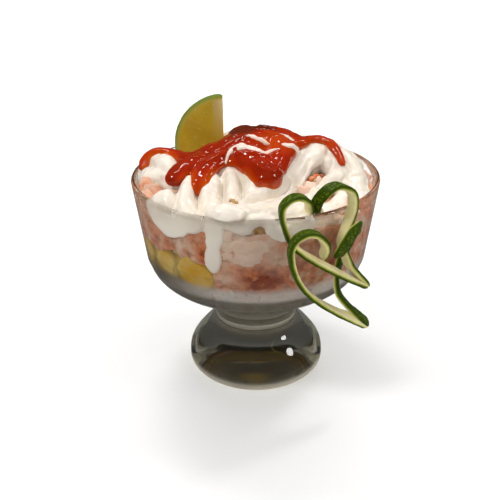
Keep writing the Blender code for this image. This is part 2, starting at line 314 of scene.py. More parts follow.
glassBuild = {
    "sides": 160,
    # radius and height along the outside, the inside and the underside
    "foot": [
        (31.0, 0.0), (33.0, 0.7), (33.6, 2.6), (32.6, 8.0), (27.6, 15.0), (21.4, 21.6), (19.8, 29.0),
        (22.8, 37.5),
    ],
    "bowl": [(22.8, 37.5), (35.0, 44.9), (47.2, 53.6), (51.0, 61.5)],
    "inside": [(0.0, 51.5), (22.0, 52.3), (35.0, 55.2), (44.5, 61.5), (48.8, 70.0)],
    "rimRadius": 55.0,
    "rimHeight": 98.2,
    "wall": 2.2,
    "dish": [(0.4, 2.2), (12.0, 2.0), (22.0, 1.2), (27.5, 0.3), (29.0, 0.0)],
    "colourAndShadeScale": 10.0,  # a height of 100 mm is 1 in the colour and painted shade below
    "colourAndShade": [  # height, and the glass's colour there: clear in the bowl's sides; darker over the foot and neck, darkest under the bowl, and a grey line under the rim, all painted shade; warm low in the foot, a painted reflection of a brown table
        (0.0, (1.0, 0.95, 0.78)), (0.06, (0.94, 0.90, 0.78)), (0.11, (0.34, 0.34, 0.31)),
        (0.17, (0.22, 0.22, 0.20)), (0.25, (0.44, 0.42, 0.39)), (0.29, (0.13, 0.125, 0.11)),
        (0.335, (0.05, 0.045, 0.035)), (0.38, (0.05, 0.045, 0.035)), (0.43, (0.68, 0.66, 0.63)),
        (0.54, (0.985, 0.99, 0.985)), (0.952, (0.985, 0.99, 0.985)), (0.968, (0.78, 0.77, 0.74)),
        (0.98, (0.96, 0.96, 0.95)),
    ],
    "edgeClearness": 0.5,  # the moulded edge round the foot is half opaque, so that it shows pale: a painted highlight
    "edge": (30.9, 32.4, 5.2, 2.6),  # its start and end by radius, then by height
    "shadowColour": (0.84, 0.84, 0.83),
    "depthColour": (0.50, 0.48, 0.41),
    "depthDensity": 20.0,
}


def wallInside(build):
    # the bowl's inside, from the middle of its floor to the rim
    floor = [(p[0], p[1]) for p in smoothRun(build["inside"], 8)]
    return [*floor, (build["rimRadius"] - build["wall"], build["rimHeight"] - build["wall"] / 2)]


def insideRadius(height):
    # of the bowl at a height in millimetres, or at heights
    profile = wallInside(glassBuild)
    return np.interp(height, [p[1] for p in profile], [p[0] for p in profile])


def turnedShape(name, profile, sides):
    # a ring extruded from one point of the profile to the next, its ends closed on the axis
    firstRadius, firstHeight = profile[0]
    place = (0, 0, firstHeight * mm)
    obj = addPrimitive("circle", name, vertices=sides, radius=firstRadius * mm, location=place)
    pick(obj)
    bpy.ops.object.mode_set(mode="EDIT")
    bpy.ops.mesh.select_all(action="SELECT")
    for (radius, height), (nextRadius, nextHeight) in zip(profile, profile[1:]):
        step = (0, 0, (nextHeight - height) * mm)
        bpy.ops.mesh.extrude_region_move(TRANSFORM_OT_translate={"value": step})
        share = nextRadius / radius
        bpy.ops.transform.resize(value=(share, share, 1), center_override=(0, 0, nextHeight * mm))
    bpy.ops.mesh.merge(type="CENTER")
    bpy.ops.mesh.select_all(action="DESELECT")
    bpy.ops.object.mode_set(mode="OBJECT")
    for vert in obj.data.vertices:
        near = math.hypot(vert.co.x, vert.co.y) < firstRadius * 1.01 * mm
        vert.select = near and abs(vert.co.z - firstHeight * mm) < sameSpot
    bpy.ops.object.mode_set(mode="EDIT")
    bpy.ops.mesh.merge(type="CENTER")
    bpy.ops.mesh.select_all(action="SELECT")
    bpy.ops.mesh.normals_make_consistent(inside=False)
    bpy.ops.object.mode_set(mode="OBJECT")
    return obj


def glassProfile(build):
    # from the middle of the foot's underside up the outside, over the rim and down to the bowl's floor
    foot = [(p[0], p[1]) for p in smoothRun(build["foot"], 6)]
    bowl = [(p[0], p[1]) for p in smoothRun(build["bowl"], 8)]
    radius, height = build["bowl"][-1]
    half = build["wall"] / 2
    middle = (build["rimRadius"] - half, build["rimHeight"] - half)
    flare, rise = build["rimRadius"] - radius, middle[1] - height
    wall = [(radius + flare * share, height + rise * share) for share in (0.12, 0.3, 0.5, 0.7, 0.9)]
    turns = [math.radians(10 + 160 * step / 8) for step in range(9)]
    rim = [(middle[0] + half * math.cos(a), middle[1] + half * math.sin(a)) for a in turns]
    inside = wallInside(build)[::-1]
    low = [(build["dish"][0][0], inside[-1][1])]
    return [*build["dish"], *foot, *bowl[1:], *wall, *rim, *inside[1:-1], *low]


def glassFinish(build):
    material, tree, shader = newFinish("clearPressedGlass")
    place = objectPlace(tree)
    height = calc(tree, "MULTIPLY", axisOf(tree, place, "Z"), build["colourAndShadeScale"])
    clearness = [(0.0, 1.0), (1.0, build["edgeClearness"])]
    waves = noiseOn(tree, place, 45.0, 2.0, 0.4)  # the faint waves of pressed glass
    setShader(
        shader,
        # by height: the glass's colour, with painted shade and a painted reflection
        Base_Color=ramp(tree, height, build["colourAndShade"]),
        # half opaque round the foot's edge: a painted highlight
        Transmission_Weight=ramp(tree, numberOn(tree, "edge"), clearness),
        Normal=bumpFrom(tree, waves, 0.12, 0.5),
        Roughness=0.025,
        IOR=1.5,
        Specular_IOR_Level=0.12,
    )
    # lamps shine through to the food
    clear = addNode(tree, "BsdfTransparent", Color=build["shadowColour"])
    pair = addNode(tree, "MixShader")
    feed(pair.inputs[0], addNode(tree, "LightPath").outputs["Is Shadow Ray"])
    feed(pair.inputs[1], shader.outputs[0])
    feed(pair.inputs[2], clear.outputs[0])
    depth = addNode(tree, "VolumeAbsorption", Color=build["depthColour"], Density=build["depthDensity"])
    output = tree.nodes["Material Output"]
    feed(output.inputs["Surface"], pair.outputs[0])
    feed(output.inputs["Volume"], depth.outputs[0])
    return material


def makeGlass(build):
    obj = turnedShape("footedGlass", glassProfile(build), build["sides"])
    points = readPoints(obj) / mm
    inner, outer, top, full = build["edge"]
    around = np.clip((np.hypot(points[:, 0], points[:, 1]) - inner) / (outer - inner), 0, 1)
    writeValues(obj, "edge", around * np.clip((top - points[:, 2]) / (top - full), 0, 1))
    finishPiece(obj, glassFinish(build), "clear_glass", "glass", angle=50)
    print("glass done", len(obj.data.polygons))
    return obj


def pressToGlass(obj, bite, softness=0.35):
    # what reaches past the bowl's inside lies softly against it, bite millimetres into the wall
    farUp = 200.0  # the wall goes on above the rim
    profile = np.array([*wallInside(glassBuild), (glassBuild["rimRadius"] - glassBuild["wall"], farUp)])
    points = readPoints(obj) / mm
    radius = np.hypot(points[:, 0], points[:, 1])
    flat = np.stack([radius, points[:, 2]], 1)
    best = np.full(len(flat), np.inf)
    target = flat.copy()
    for start, end in zip(profile, profile[1:]):
        along = end - start
        share = np.clip(((flat - start) @ along) / (along @ along), 0, 1)
        nearest = start + share[:, None] * along
        gap = np.linalg.norm(flat - nearest, axis=1)
        outward = np.array([along[1], -along[0]]) / np.linalg.norm(along)
        side = (flat - nearest) @ outward
        held = bite - softness * np.logaddexp(0, (bite - side) / softness)
        moved = flat + (held - side)[:, None] * outward
        closer = gap < best
        best[closer] = gap[closer]
        target[closer] = moved[closer]
    scale = np.where(radius > sameSpot, target[:, 0] / np.maximum(radius, sameSpot), 1)
    points[:, 0] *= scale
    points[:, 1] *= scale
    points[:, 2] = target[:, 1]
    writePoints(obj, points * mm)


# the cream

creamBuild = {
    "strokes": [  # x, y, z and radius along each
        # the left mound and the piped blob below it
        [(-48.5, 4, 96.5, 4), (-46.5, 6.5, 98.2, 5), (-42.5, 3, 99.8, 5.2), (-38.5, -3, 100, 5),
         (-36, -8, 98.5, 4.5)],
        [(-47.5, -1, 96, 4.6), (-45, -6, 95.8, 4.8), (-41, -9, 96.4, 4.6), (-37, -13, 96.5, 4.2)],
        [(-44, 1, 94.5, 7), (-38, -6, 94.5, 7)],
        [(-47, -2, 96, 4), (-43, -6, 97, 4.2), (-39, -11, 97, 4)],
        [(-38.5, -32.5, 94.2, 5.0), (-35, -34.5, 96, 6.0), (-30.5, -37.5, 95.8, 5.4)],
        [(-38.5, -36, 91.5, 4.6), (-34.5, -39.5, 89.8, 5.4), (-30, -43, 91, 4.8)],
        [(-28, -41, 95, 4.5), (-25, -45, 93.6, 4.6), (-22, -46.5, 94, 4)],
        # the ridges that rise to small peaks
        [(-27, -22, 101.6, 2.2), (-27.6, -25.5, 100, 3.4), (-28.5, -30.5, 98.4, 4.3), (-30, -36, 96.5, 5)],
        [(-30.5, -28, 97.5, 3.2), (-33, -33, 96.5, 4)],
        [(-24.5, -30, 96.5, 3.2), (-25, -37, 95.5, 4.2)],
        [(-17.4, -20.5, 102, 2.3), (-18.3, -24.5, 99.8, 3.2), (-19.6, -29.5, 97.7, 3.9),
         (-21, -36, 95.8, 4.5), (-21, -41, 95, 4.4)],
        [(-11.4, -15.4, 104.4, 1.4), (-11, -17.4, 102.8, 2.7), (-10.4, -21, 100.6, 4),
         (-9.6, -25, 98.8, 4.6), (-10, -31, 97, 4.6), (-10, -37, 94.5, 5)],
        [(-7.9, -17, 102.2, 2.4), (-4.7, -19.4, 100.9, 3.4), (-1.6, -22.5, 100.5, 4.2),
         (-1, -27.5, 98.5, 4.2), (-2.5, -33, 96.3, 4.4)],
        [(-15.2, -23.5, 101, 1.6), (-15.8, -27.5, 98.6, 2.4), (-16, -33, 96.6, 3.2), (-15.6, -38, 95, 4)],
        # the wet lump at the rim
        [(-15.5, -48, 96.6, 3.8), (-11.5, -49.8, 98, 4.3), (-7, -50.6, 97.6, 3.5)],
        # the wide ribbon, the one beside it, and what falls away to the right
        [(29.3, 6, 107, 2.3), (23.2, 2.2, 105.8, 3.5), (17.6, -3, 103.4, 4.1), (14.2, -11.5, 101, 4.1),
         (10.2, -20.5, 99.4, 3.8), (4.5, -27.5, 98.4, 3.7), (-3, -34, 97.6, 3.3)],
        [(31, 4.8, 106.6, 2.2), (26.6, -1, 104.4, 3.3), (21.4, -6.6, 101.2, 3.5), (17.8, -14, 98.6, 3.4),
         (13.4, -23.4, 97, 3.3), (7.8, -31, 95.6, 3.6), (-1, -37.5, 95.8, 3.5), (-6.5, -41, 96, 3.6)],
        [(41, -1, 98.8, 3.6), (35.5, -6.5, 97.2, 3.8), (30.5, -13, 95.8, 3.6), (26.2, -20, 94.2, 3.7),
         (21.5, -28, 94, 4.0), (15, -34.5, 94.8, 4.2), (7.5, -38.5, 95.5, 4)],
        [(30.5, 5.5, 106.8, 2.6), (35.5, 5, 103.6, 4.6), (40, 1.5, 100.2, 5.2), (43.2, -4, 96.5, 5.6),
         (44, -11, 92.5, 5.6), (43, -19, 90.5, 5)],
        [(32, 0.5, 100.5, 4.5), (35, -1, 98, 5)],
        [(41, -9, 92, 5.5), (38, -17, 90.5, 5), (33, -25, 89.5, 4.6), (27, -33, 90, 4.6)],
        # the front, up against the glass
        [(-17, -43, 94.6, 4.6), (-8, -45.5, 96, 4.3), (3, -46, 95.6, 4.4), (10, -44.5, 94.4, 4.8),
         (16, -43, 94.4, 4.8), (22, -40, 94.5, 4.6)],
        [(2, -40, 95, 4.6), (11, -39.5, 94.5, 5), (19, -35, 94, 5)],
        # the run that has slid down the inside of the glass
        [(-14.2, -48, 96, 4.7), (-14.5, -48.1, 91.5, 4.7), (-14.9, -47.8, 88, 4.4),
         (-15.2, -47.4, 86, 3.8)],
        [(-15.4, -47.2, 83.8, 3.5), (-15.9, -46.9, 80.5, 3.9), (-16.1, -46.4, 77.5, 3.8),
         (-16, -46, 75.6, 3.0)],
        [(-8.5, -50.1, 95.4, 3.4), (-4.5, -50.4, 94.4, 3.4), (-1.5, -50.7, 95.8, 2.6),
         (2.5, -50.7, 96.4, 2.2), (5.5, -50.3, 95.2, 2.8)],
        [(6.2, -50, 93.6, 3.4), (8.6, -49.4, 90.8, 3.3), (11.4, -48.8, 90.8, 3.2), (14, -48.2, 92.8, 3.6),
         (19, -46.4, 94.2, 3.6)],
        # the bed under the sauce, and round the back
        [(-30, -6, 94.5, 7.5), (-16, -10, 97, 8.5), (-2, -10, 98.5, 9), (10, -3, 99, 9), (22, 4, 98, 8)],
        [(-22, -20, 94, 7), (-12, -24, 93, 6.5), (0, -24, 92.5, 6.5)],
        [(-28, 6, 93.6, 8), (-20, 6, 96, 8), (-11, 6, 99.6, 9), (2, 6, 101, 9), (16, 9, 100, 9),
         (28, 13, 97, 8.5)],
        [(-30, 20, 90.5, 8), (-16, 22, 94, 8.5), (0, 23, 99, 9.5), (15, 25, 97, 9), (26, 24, 96, 8)],
        [(-16, 34, 92, 8), (-2, 34, 96, 8), (14, 35, 95, 8)],
        [(41, 3, 95, 7), (42, 12, 94, 8.5), (35, 26, 95.5, 8), (25, 38, 93.5, 9), (10, 43, 95, 8)],
        [(10, 43, 95, 8), (-6, 43, 93, 9), (-22, 38, 92, 8), (-35, 28, 89.5, 8.5), (-43, 15, 92, 7.5)],
        # the small pale lump by the wedge
        [(-13.5, 32, 103.5, 3.4), (-11, 31, 104.3, 2.6)],
    ],
    "valleys": [  # folds sunk between the ridges: x, y, half width and depth along each
        [(-32.3, -24, 1.4, 2.0), (-31.2, -35, 1.6, 3.4), (-31.6, -43, 1.6, 2.3)],
        [(-23.9, -28, 1.2, 2.0), (-22.8, -36, 1.6, 3.9), (-21.5, -45.5, 1.6, 2.9)],
        [(-13.2, -20.5, 1.2, 2.6), (-13.4, -27, 1.5, 4.4), (-13, -33, 1.5, 3.9), (-11.9, -38.6, 1.4, 2.1)],
        [(-6.7, -21, 0.8, 1.0), (-5.8, -26.7, 1.1, 2.6), (-4.9, -34.5, 1.2, 1.8)],
        [(14.4, -20.4, 1.1, 2.1), (12.0, -24.6, 1.3, 3.1), (8.4, -29.6, 1.4, 3.9), (2.6, -34.6, 1.4, 3.9),
         (-3.6, -38.6, 1.4, 2.9), (-8, -41, 1.2, 1.3)],
        [(23.6, -6, 1.0, 1.6), (18, -18, 1.2, 2.9), (10.6, -28.6, 1.1, 1.8)],
        [(-39.5, -14, 1.3, 1.6), (-36, -18, 1.6, 3.1), (-33.5, -24, 1.4, 2.1)],
    ],
    "voxel": 0.6,
    "smoothing": 3,
    "relief": [(7.0, 1.8), (3.0, 0.4)],  # size and strength
    # shade and light ends of soft patches over the cream: uneven tone, widened as painted shade for the
    # lumps behind the glass
    "colours": ((0.78, 0.69, 0.575), (0.87, 0.79, 0.69)),
    "bite": 1.5,
    "spill": (-12.5, 7.5, 2.6),  # azimuth, spread and reach of the lump that lies over the rim
}


def valleyDepth(points, valleys):
    # how far each point sinks for the folds near it; all in millimetres
    depth = np.zeros(len(points))
    for valley in valleys:
        for x, y, half, sink in smoothRun(valley, 10):
            away = ((points[:, 0] - x) ** 2 + (points[:, 1] - y) ** 2) / half**2
            depth = np.maximum(depth, sink * np.exp(-away))
    return depth * np.clip((points[:, 2] - 90) / 4, 0, 1)  # only on top of the heap


def creamFinish(name, shade, light):
    material, tree, shader = newFinish(name)
    place = objectPlace(tree)
    # soft patches of painted shade and light
    colour = ramp(tree, noiseOn(tree, place, 95.0, 2.0), [(0.36, shade), (0.62, light)])
    # painted light: what has run down behind the glass is made whiter
    paintedLightBehindGlass = remap(tree, axisOf(tree, place, "Z"), 96.5 * mm, 89 * mm)
    setShader(
        shader,
        Base_Color=mixColour(tree, paintedLightBehindGlass, colour, (1.0, 0.94, 0.84)),
        Roughness=ramp(tree, noiseOn(tree, place, 180.0, 2.0), [(0.3, 0.16), (0.75, 0.3)]),
        Normal=bumpFrom(tree, noiseOn(tree, place, 420.0), 0.2, 0.25),
        IOR=1.45,
        Subsurface_Weight=0.15,
        Subsurface_Radius=(1.0, 0.72, 0.5),
        Subsurface_Scale=0.0015,
    )
    return material


def makeCream(build):
    # a bed of cream goes under each run of sauce
    beds = [
        [(x, y, z - 0.95 * radius - 2, 0.6 * radius + 2) for x, y, z, radius in stroke]
        for stroke in sauceBuild["strokes"]
    ]
    obj = meltStrokes("creamTopping", build["strokes"] + beds, skinVoxel(build), build["smoothing"])
    wobble(obj, build["relief"])
    points = readPoints(obj) / mm
    points[:, 2] -= valleyDepth(points, build["valleys"])
    writePoints(obj, points * mm)
    middle, spread, reach = build["spill"]
    over = np.exp(hump(azimuthOf(points), middle, spread)) * np.clip((points[:, 2] - 96.9) / 1.3, 0, 1)
    pressToGlass(obj, build["bite"] + reach * over, 0.7)
    finishPiece(obj, creamFinish("softCream", *build["colours"]), "cream", "cream_topping")
    print("cream done", len(obj.data.polygons))
    return obj


# painted shade and a painted reflection on the contents' lowest part, against the thick glass of the bowl's
# floor

glassFloorShadeLook = {
    # axis, start and end in millimetres, and how strong each gets
    "shadow": ("X", -38, -14, 1.0),
    "grey": ("Z", 66, 62.5, 0.85),
    "dark": ("Z", 59.5, 56.5, 1.0),
    "olive": ("Z", 52.4, 51.8, 1.0),
    "greyColours": ((0.12, 0.105, 0.08), (0.82, 0.77, 0.72)),
    "darkColour": (0.32, 0.29, 0.25),
    "oliveColour": (1.0, 0.74, 0.32),
}


def glassFloorShade(tree, place, colour, look=glassFloorShadeLook):
    # painted shade, grey and then dark, and a painted olive reflection underneath
    def share(name):
        axis, start, end, most = look[name]
        return remap(tree, axisOf(tree, place, axis), start * mm, end * mm, 0.0, most)

    grey = mixColour(tree, share("shadow"), *look["greyColours"])
    colour = mixColour(tree, share("grey"), colour, grey)
    colour = mixColour(tree, share("dark"), colour, look["darkColour"])
    return mixColour(tree, share("olive"), colour, look["oliveColour"])


# the prawns

prawnBuild = {
    "rows": [57.5, 62, 66.5, 71, 75.5, 80, 84.5, 89],  # heights
    "spacing": 6.6,  # from piece to piece round the glass
    "shake": (0.35, 2),  # by how much of a spacing along, and how far up or down
    "depths": (1.2, 3.4),  # inwards from the glass
    "sizes": (2.4, 3.0, 3.6, 4.4),
    "stretch": (0.8, 1.15),
    "bites": (0.7, 1.2),  # into the wall
    # places that are left free: by azimuth, and then below or above which height
    "fruitZone": (-22, 100, 76),
    "massZones": [(-12, 12, 82), (12, 36, 88)],
    "seam": (79, 8),  # the height of the layers' seam, and how far down the lower one deepens
    "front": (3, 17),  # azimuth and spread
    # soft spots on the glass: azimuth, its spread, height, its spread
    "peachSpot": (-13, 7, 70, 4.5),
    "lowFrontShade": (-1.5, 6.5, 74, 4.5),
    "shadeBesideDrip": (-23, 3.0, 81.5, 4.5),
    "shapes": [  # width, depth, length, bend in degrees, relief
        (0.9, 0.7, 1.9, 110, 0.9), (1.1, 0.75, 1.3, 50, 0.8), (0.6, 0.55, 2.0, 70, 0.9),
        (1.2, 0.7, 1.1, 20, 0.8), (0.8, 0.8, 1.6, 140, 0.8), (0.5, 0.45, 1.9, 30, 1.1),
    ],
    "pale": (0.85, 0.66, 0.53),
    "tan": (0.66, 0.38, 0.24),
    "pink": (0.66, 0.20, 0.065),
    # the dark red of the painted shade in the gaps between the shreds
    "redBrown": (0.32, 0.05, 0.010),
    "gapShade": (0.17, 0.035, 0.012),
    "seed": 11,
    "bitShade": (0.30, 0.15, 0.045),
    "bitLight": (0.60, 0.38, 0.17),
    "bits": [  # browned flakes: x, y, z, half width, half height
        (-9.3, -37.9, 99.0, 1.3, 1.0), (-7.9, -38.8, 98.7, 1.0, 0.9), (1.2, -50.8, 93.2, 2.4, 1.7),
        (3.4, -50.4, 91.6, 2.0, 1.5),
    ],
    # pieces with a place of their own: x, y, z, size, how orange, how pale, and the bite into the wall
    "placed": [
        # the first seven, under the cream's left mound, have their orange and paleness set darker: painted
        # shade from the mound
        (-46, -13, 92.4, 6.4, 0.3, 0.25, 0.9), (-42, -19, 91.6, 6.4, 0.25, 0.3, 0.9),
        (-38, -22, 92, 5.6, 0.15, 0.4, 0.9), (-48, -6, 91, 5.5, 0.3, 0.25, 0.9),
        (-45, -20, 88, 6, 0.3, 0.4, 0.9), (-48.5, -12, 87, 5.5, 0.4, 0.4, 0.9),
        (-42, -25, 87, 5.5, 0.4, 0.4, 0.9), (23, -16.5, 96.4, 3.4, 0.0, 0.8, 0.9),
        (19.8, -22, 95.2, 3.4, 0.0, 0.8, 0.9), (26.2, -12.5, 96.8, 3.0, 0.1, 0.7, 0.9),
        (17.4, -28, 93.6, 3.4, 0.0, 0.8, 0.9), (26.3, -11, 99.2, 1.6, 0.75, 0.0, 0.9),
        (23.8, -13.2, 98.8, 1.3, 0.7, 0.0, 0.9), (28.2, -10.2, 98.8, 1.2, 0.7, 0.1, 0.9),
        (4.6, -49.4, 72.4, 1.3, 2.2, 0.0, 1.2), (37, -30, 90, 5, 0.2, 0.8, 0.9),
        (40, -24, 89, 5, 0.2, 0.7, 0.9), (39, -30, 84, 6, 0.3, 0.6, 0.9),
        (-9.8, -50.2, 90.4, 3.2, -0.3, 0.9, 1.5), (-45.7, -11.9, 97.3, 0.5, 3.0, 0.0, 0.9),
    ],
    "core": [  # radius and height of the heap behind the pieces
        (0.4, 50.0), (22.4, 50.4), (36.4, 53.2), (46.9, 60.4), (51.5, 70.0), (54.9, 90.0), (52.0, 92.0),
        (42.0, 91.5), (30.0, 91.5), (15.0, 93.5), (0.4, 95.0),
    ],
    # the paler flaky mass high at the front: x, y, z and radius along each stroke
    "mass": [
        [(-11.5, -47.6, 87, 4.2), (-4, -48.8, 86.5, 4.4), (2.5, -48.9, 87.2, 4.2)],
        [(-10, -48, 89.5, 3.4), (-3, -49, 90, 3.4), (5, -48.6, 89.4, 3.2)],
        [(-10.5, -47, 81.8, 4.0), (-4, -47.8, 80.8, 4.4), (1.5, -48, 82.4, 4.2), (4.6, -48, 85.4, 3.2)],
        [(18, -45.4, 91.5, 3.4), (24, -42.5, 91.5, 3.6), (30, -38.8, 91, 3.8)],
    ],
}


def prawnShapes(build):
    # curled, broken and flaked tail pieces, each from a small ball drawn out, roughened and bent
    made = []
    for number, (width, depth, length, bend, relief) in enumerate(build["shapes"]):
        name = "prawnShape" + str(number)
        obj = addPrimitive("uv_sphere", name, segments=12, ring_count=10, radius=1.0)
        wobble(obj, [(0.55 + 0.05 * number, relief)], depth=1, unit=1)
        pick(obj)
        bpy.ops.transform.resize(value=(width, depth, length))
        bpy.ops.object.transform_apply(location=True, rotation=True, scale=True)
        bend = math.radians(bend)
        shapeWith(obj, "SIMPLE_DEFORM", deform_method="BEND", angle=bend, deform_axis="Y")
        made.append(obj)
    return made


def zonesAt(azimuth, height, build=prawnBuild):
    # how low a spot is, how near the front, how much in the peach patch, and how much painted red shade it
    # takes
    seam, depth = build["seam"]
    low = np.clip((seam - height) / depth, 0, 1)
    front = np.exp(hump(azimuth, *build["front"]))
    return low, front, spotAt(azimuth, height, *build["peachSpot"]), redShadeAt(azimuth, height, build)


def spotAt(azimuth, height, middle, spread, level, reach):
    # 1 in the middle of a soft spot on the glass and 0 well away from it
    return np.exp(hump(azimuth, middle, spread) + hump(height, level, reach))


def redShadeAt(azimuth, height, build):
    # painted shade in dark red: a pool low at the front, along the underside of the paler mass, and left of
    # the drip
    pool = spotAt(azimuth, height, *build["lowFrontShade"])
    slope = build["seam"][0] + 0.45 * (azimuth + 5)
    under = spotAt(azimuth, height, 5, 10, slope, 2.6)
    beside = 1.6 * spotAt(azimuth, height, *build["shadeBesideDrip"])
    return np.maximum(np.maximum(pool, under), beside)


def zoneColourAndShade(azimuth, height, shake):
    # how orange and how pale a piece is, by where it lies in the glass; redder and darker low at the front
    # and where the painted red shade lies
    low, front, peach, redShade = zonesAt(azimuth, height)
    upper = (1 - low) * front
    orange = 0.30 + 0.6 * low * front - 0.25 * upper + shake.uniform(-0.25, 0.25)
    pale = 0.34 + 0.4 * upper - 0.3 * low * front + shake.uniform(-0.3, 0.3)
    orange, pale = orange - 0.2 * peach + 0.4 * redShade, pale + 0.6 * peach - 0.3 * redShade
    return max(0, min(1, orange)), max(0, min(1, pale))


def leftFree(build, azimuth, height):
    # the left and the back of the bowl's bottom belong to the fruit, and the top of the front to the mass
    front, back, fruitTop = build["fruitZone"]
    fruit = (azimuth < front or azimuth > back) and height < fruitTop
    return fruit or any(start < azimuth < end and height > low for start, end, low in build["massZones"])


def fruitShare(points, grow=0.0):
    # 1 where the fruit lies against the glass and 0 where the prawns do; points in millimetres
    azimuth = azimuthOf(points)
    azimuth = np.where(azimuth > 39, azimuth - 360, azimuth)  # from -321 to 39 degrees
    side = np.clip((grow - 19 - azimuth) / 6, 0, 1) * np.clip((azimuth + 263 + grow) / 6, 0, 1)
    waves = 1.5 * np.sin(np.radians(azimuth * 7)) + 1.0 * np.sin(np.radians(azimuth * 17 + 40))
    top = prawnBuild["fruitZone"][2] + grow / 2 + waves
    return side * np.clip((top - points[:, 2]) / 2.5, 0, 1)


def shredShare(points):
    # low down the pieces are broken small, and smooth and whole near the top; points in millimetres
    return 1 - 0.8 * np.clip((points[:, 2] - 85) / 5, 0, 1)


def makePrawns(build):
    shake = random.Random(build["seed"])
    shapes = prawnShapes(build)
    places = []

    def lay(x, y, z, size, orange, pale, bite, which):
        turn = shake.uniform(0, math.tau)
        spin = Matrix.Rotation(turn, 4, Vector([shake.gauss(0, 1) for axis in range(3)]))
        stretch = Matrix.Diagonal([size * shake.uniform(*build["stretch"]) for axis in range(3)] + [1])
        numbers = {"orange": orange, "pale": pale, "bite": bite}
        places.append((which, moveTo(x, y, z) @ spin @ stretch @ Matrix.Scale(mm, 4), numbers))

    along, lift = build["shake"]
    for row, height in enumerate(build["rows"]):
        wall = float(insideRadius(height))
        number = int(math.tau * wall / build["spacing"])
        for step in range(number):
            azimuth = (360 * (step + 0.5 * (row % 2) + shake.uniform(-along, along)) / number) % 360
            azimuth -= 360 if azimuth > 180 else 0
            z = height + shake.uniform(-lift, lift)
            if leftFree(build, azimuth, z):
                continue
            reach = wall - shake.uniform(*build["depths"])
            x, y = reach * math.sin(math.radians(azimuth)), -reach * math.cos(math.radians(azimuth))
            size = shake.choice(build["sizes"])
            colourAndShade = zoneColourAndShade(azimuth, z, shake)
            lay(x, y, z, size, *colourAndShade, shake.uniform(*build["bites"]), shake.randrange(len(shapes)))
    for number, numbers in enumerate(build["placed"]):
        lay(*numbers, (1, 3)[number % 2])
    obj = copyAll(shapes, "prawnPieces", places)
    writeValues(obj, "shred", shredShare(readPoints(obj) / mm))
    pressToGlass(obj, readValues(obj, "bite"), 0.6)
    finish = prawnFinish(build)
    finishPiece(obj, finish, "prawns", "prawn_filling")
    core = prawnCore(build)
    finishPiece(core, finish, "prawns")
    finishPiece(prawnMass(build), finish, "prawns")
    makeBits(build)
    print("prawns done", len(places), len(obj.data.polygons), len(core.data.polygons))


def prawnCore(build):
    # the smaller heap behind the pieces, finely shredded
    obj = turnedShape("prawnCore", build["core"], 96)
    meltSkin(obj, 0.9)
    wobble(obj, [(5.0, 3.4), (2.2, 1.6)])
    points = readPoints(obj) / mm
    low, front, peach, redShade = zonesAt(azimuthOf(points), points[:, 2])
    upper = (1 - low) * front
    pressToGlass(obj, 0.75 - 4 * fruitShare(points), 0.45)
    # the painted red shade darkens the core as it does the pieces
    writeValues(obj, "orange", 0.3 + 0.5 * low * front - 0.2 * upper + 0.42 * redShade - 0.3 * peach)
    writeValues(obj, "pale", 0.2 + 0.35 * upper - 0.1 * low * front - 0.2 * redShade + 0.45 * peach)
    writeValues(obj, "shred", shredShare(points))
    return obj


def prawnMass(build):
    # the paler flaky mass high at the front
    obj = meltStrokes("prawnMass", build["mass"], 0.6, 2)
    wobble(obj, [(3.0, 2.0), (1.4, 0.7)])
    points = readPoints(obj) / mm
    pressToGlass(obj, 1.15, 0.5)
    writeValues(obj, "orange", np.full(len(points), -0.1))
    writeValues(obj, "pale", np.full(len(points), 0.84))
    writeValues(obj, "shred", 0.5 * shredShare(points))
    return obj


def makeBits(build):
    # small browned flakes between the cream's folds
    flakes = []
    for x, y, z, wide, high in build["bits"]:
        flakes.append(moveTo(x, y, z) @ Matrix.Diagonal((wide, wide, high, 1)))
    obj = ballsAt("brownBits", flakes)
    wobble(obj, [(1.2, 1.1)])
    pressToGlass(obj, 1.7, 0.3)
    material, tree, shader = newFinish("brownedFlake")
    patches = noiseOn(tree, objectPlace(tree), 500.0)
    setShader(
        shader,
        Base_Color=ramp(tree, patches, [(0.35, build["bitShade"]), (0.65, build["bitLight"])]),
        Normal=bumpFrom(tree, patches, 0.3, 0.3),
        Roughness=0.4,
        Specular_IOR_Level=0.1,
        Subsurface_Weight=0.2,
        Subsurface_Radius=(1.0, 0.5, 0.25),
        Subsurface_Scale=0.001,
    )
    finishPiece(obj, material, "prawns")


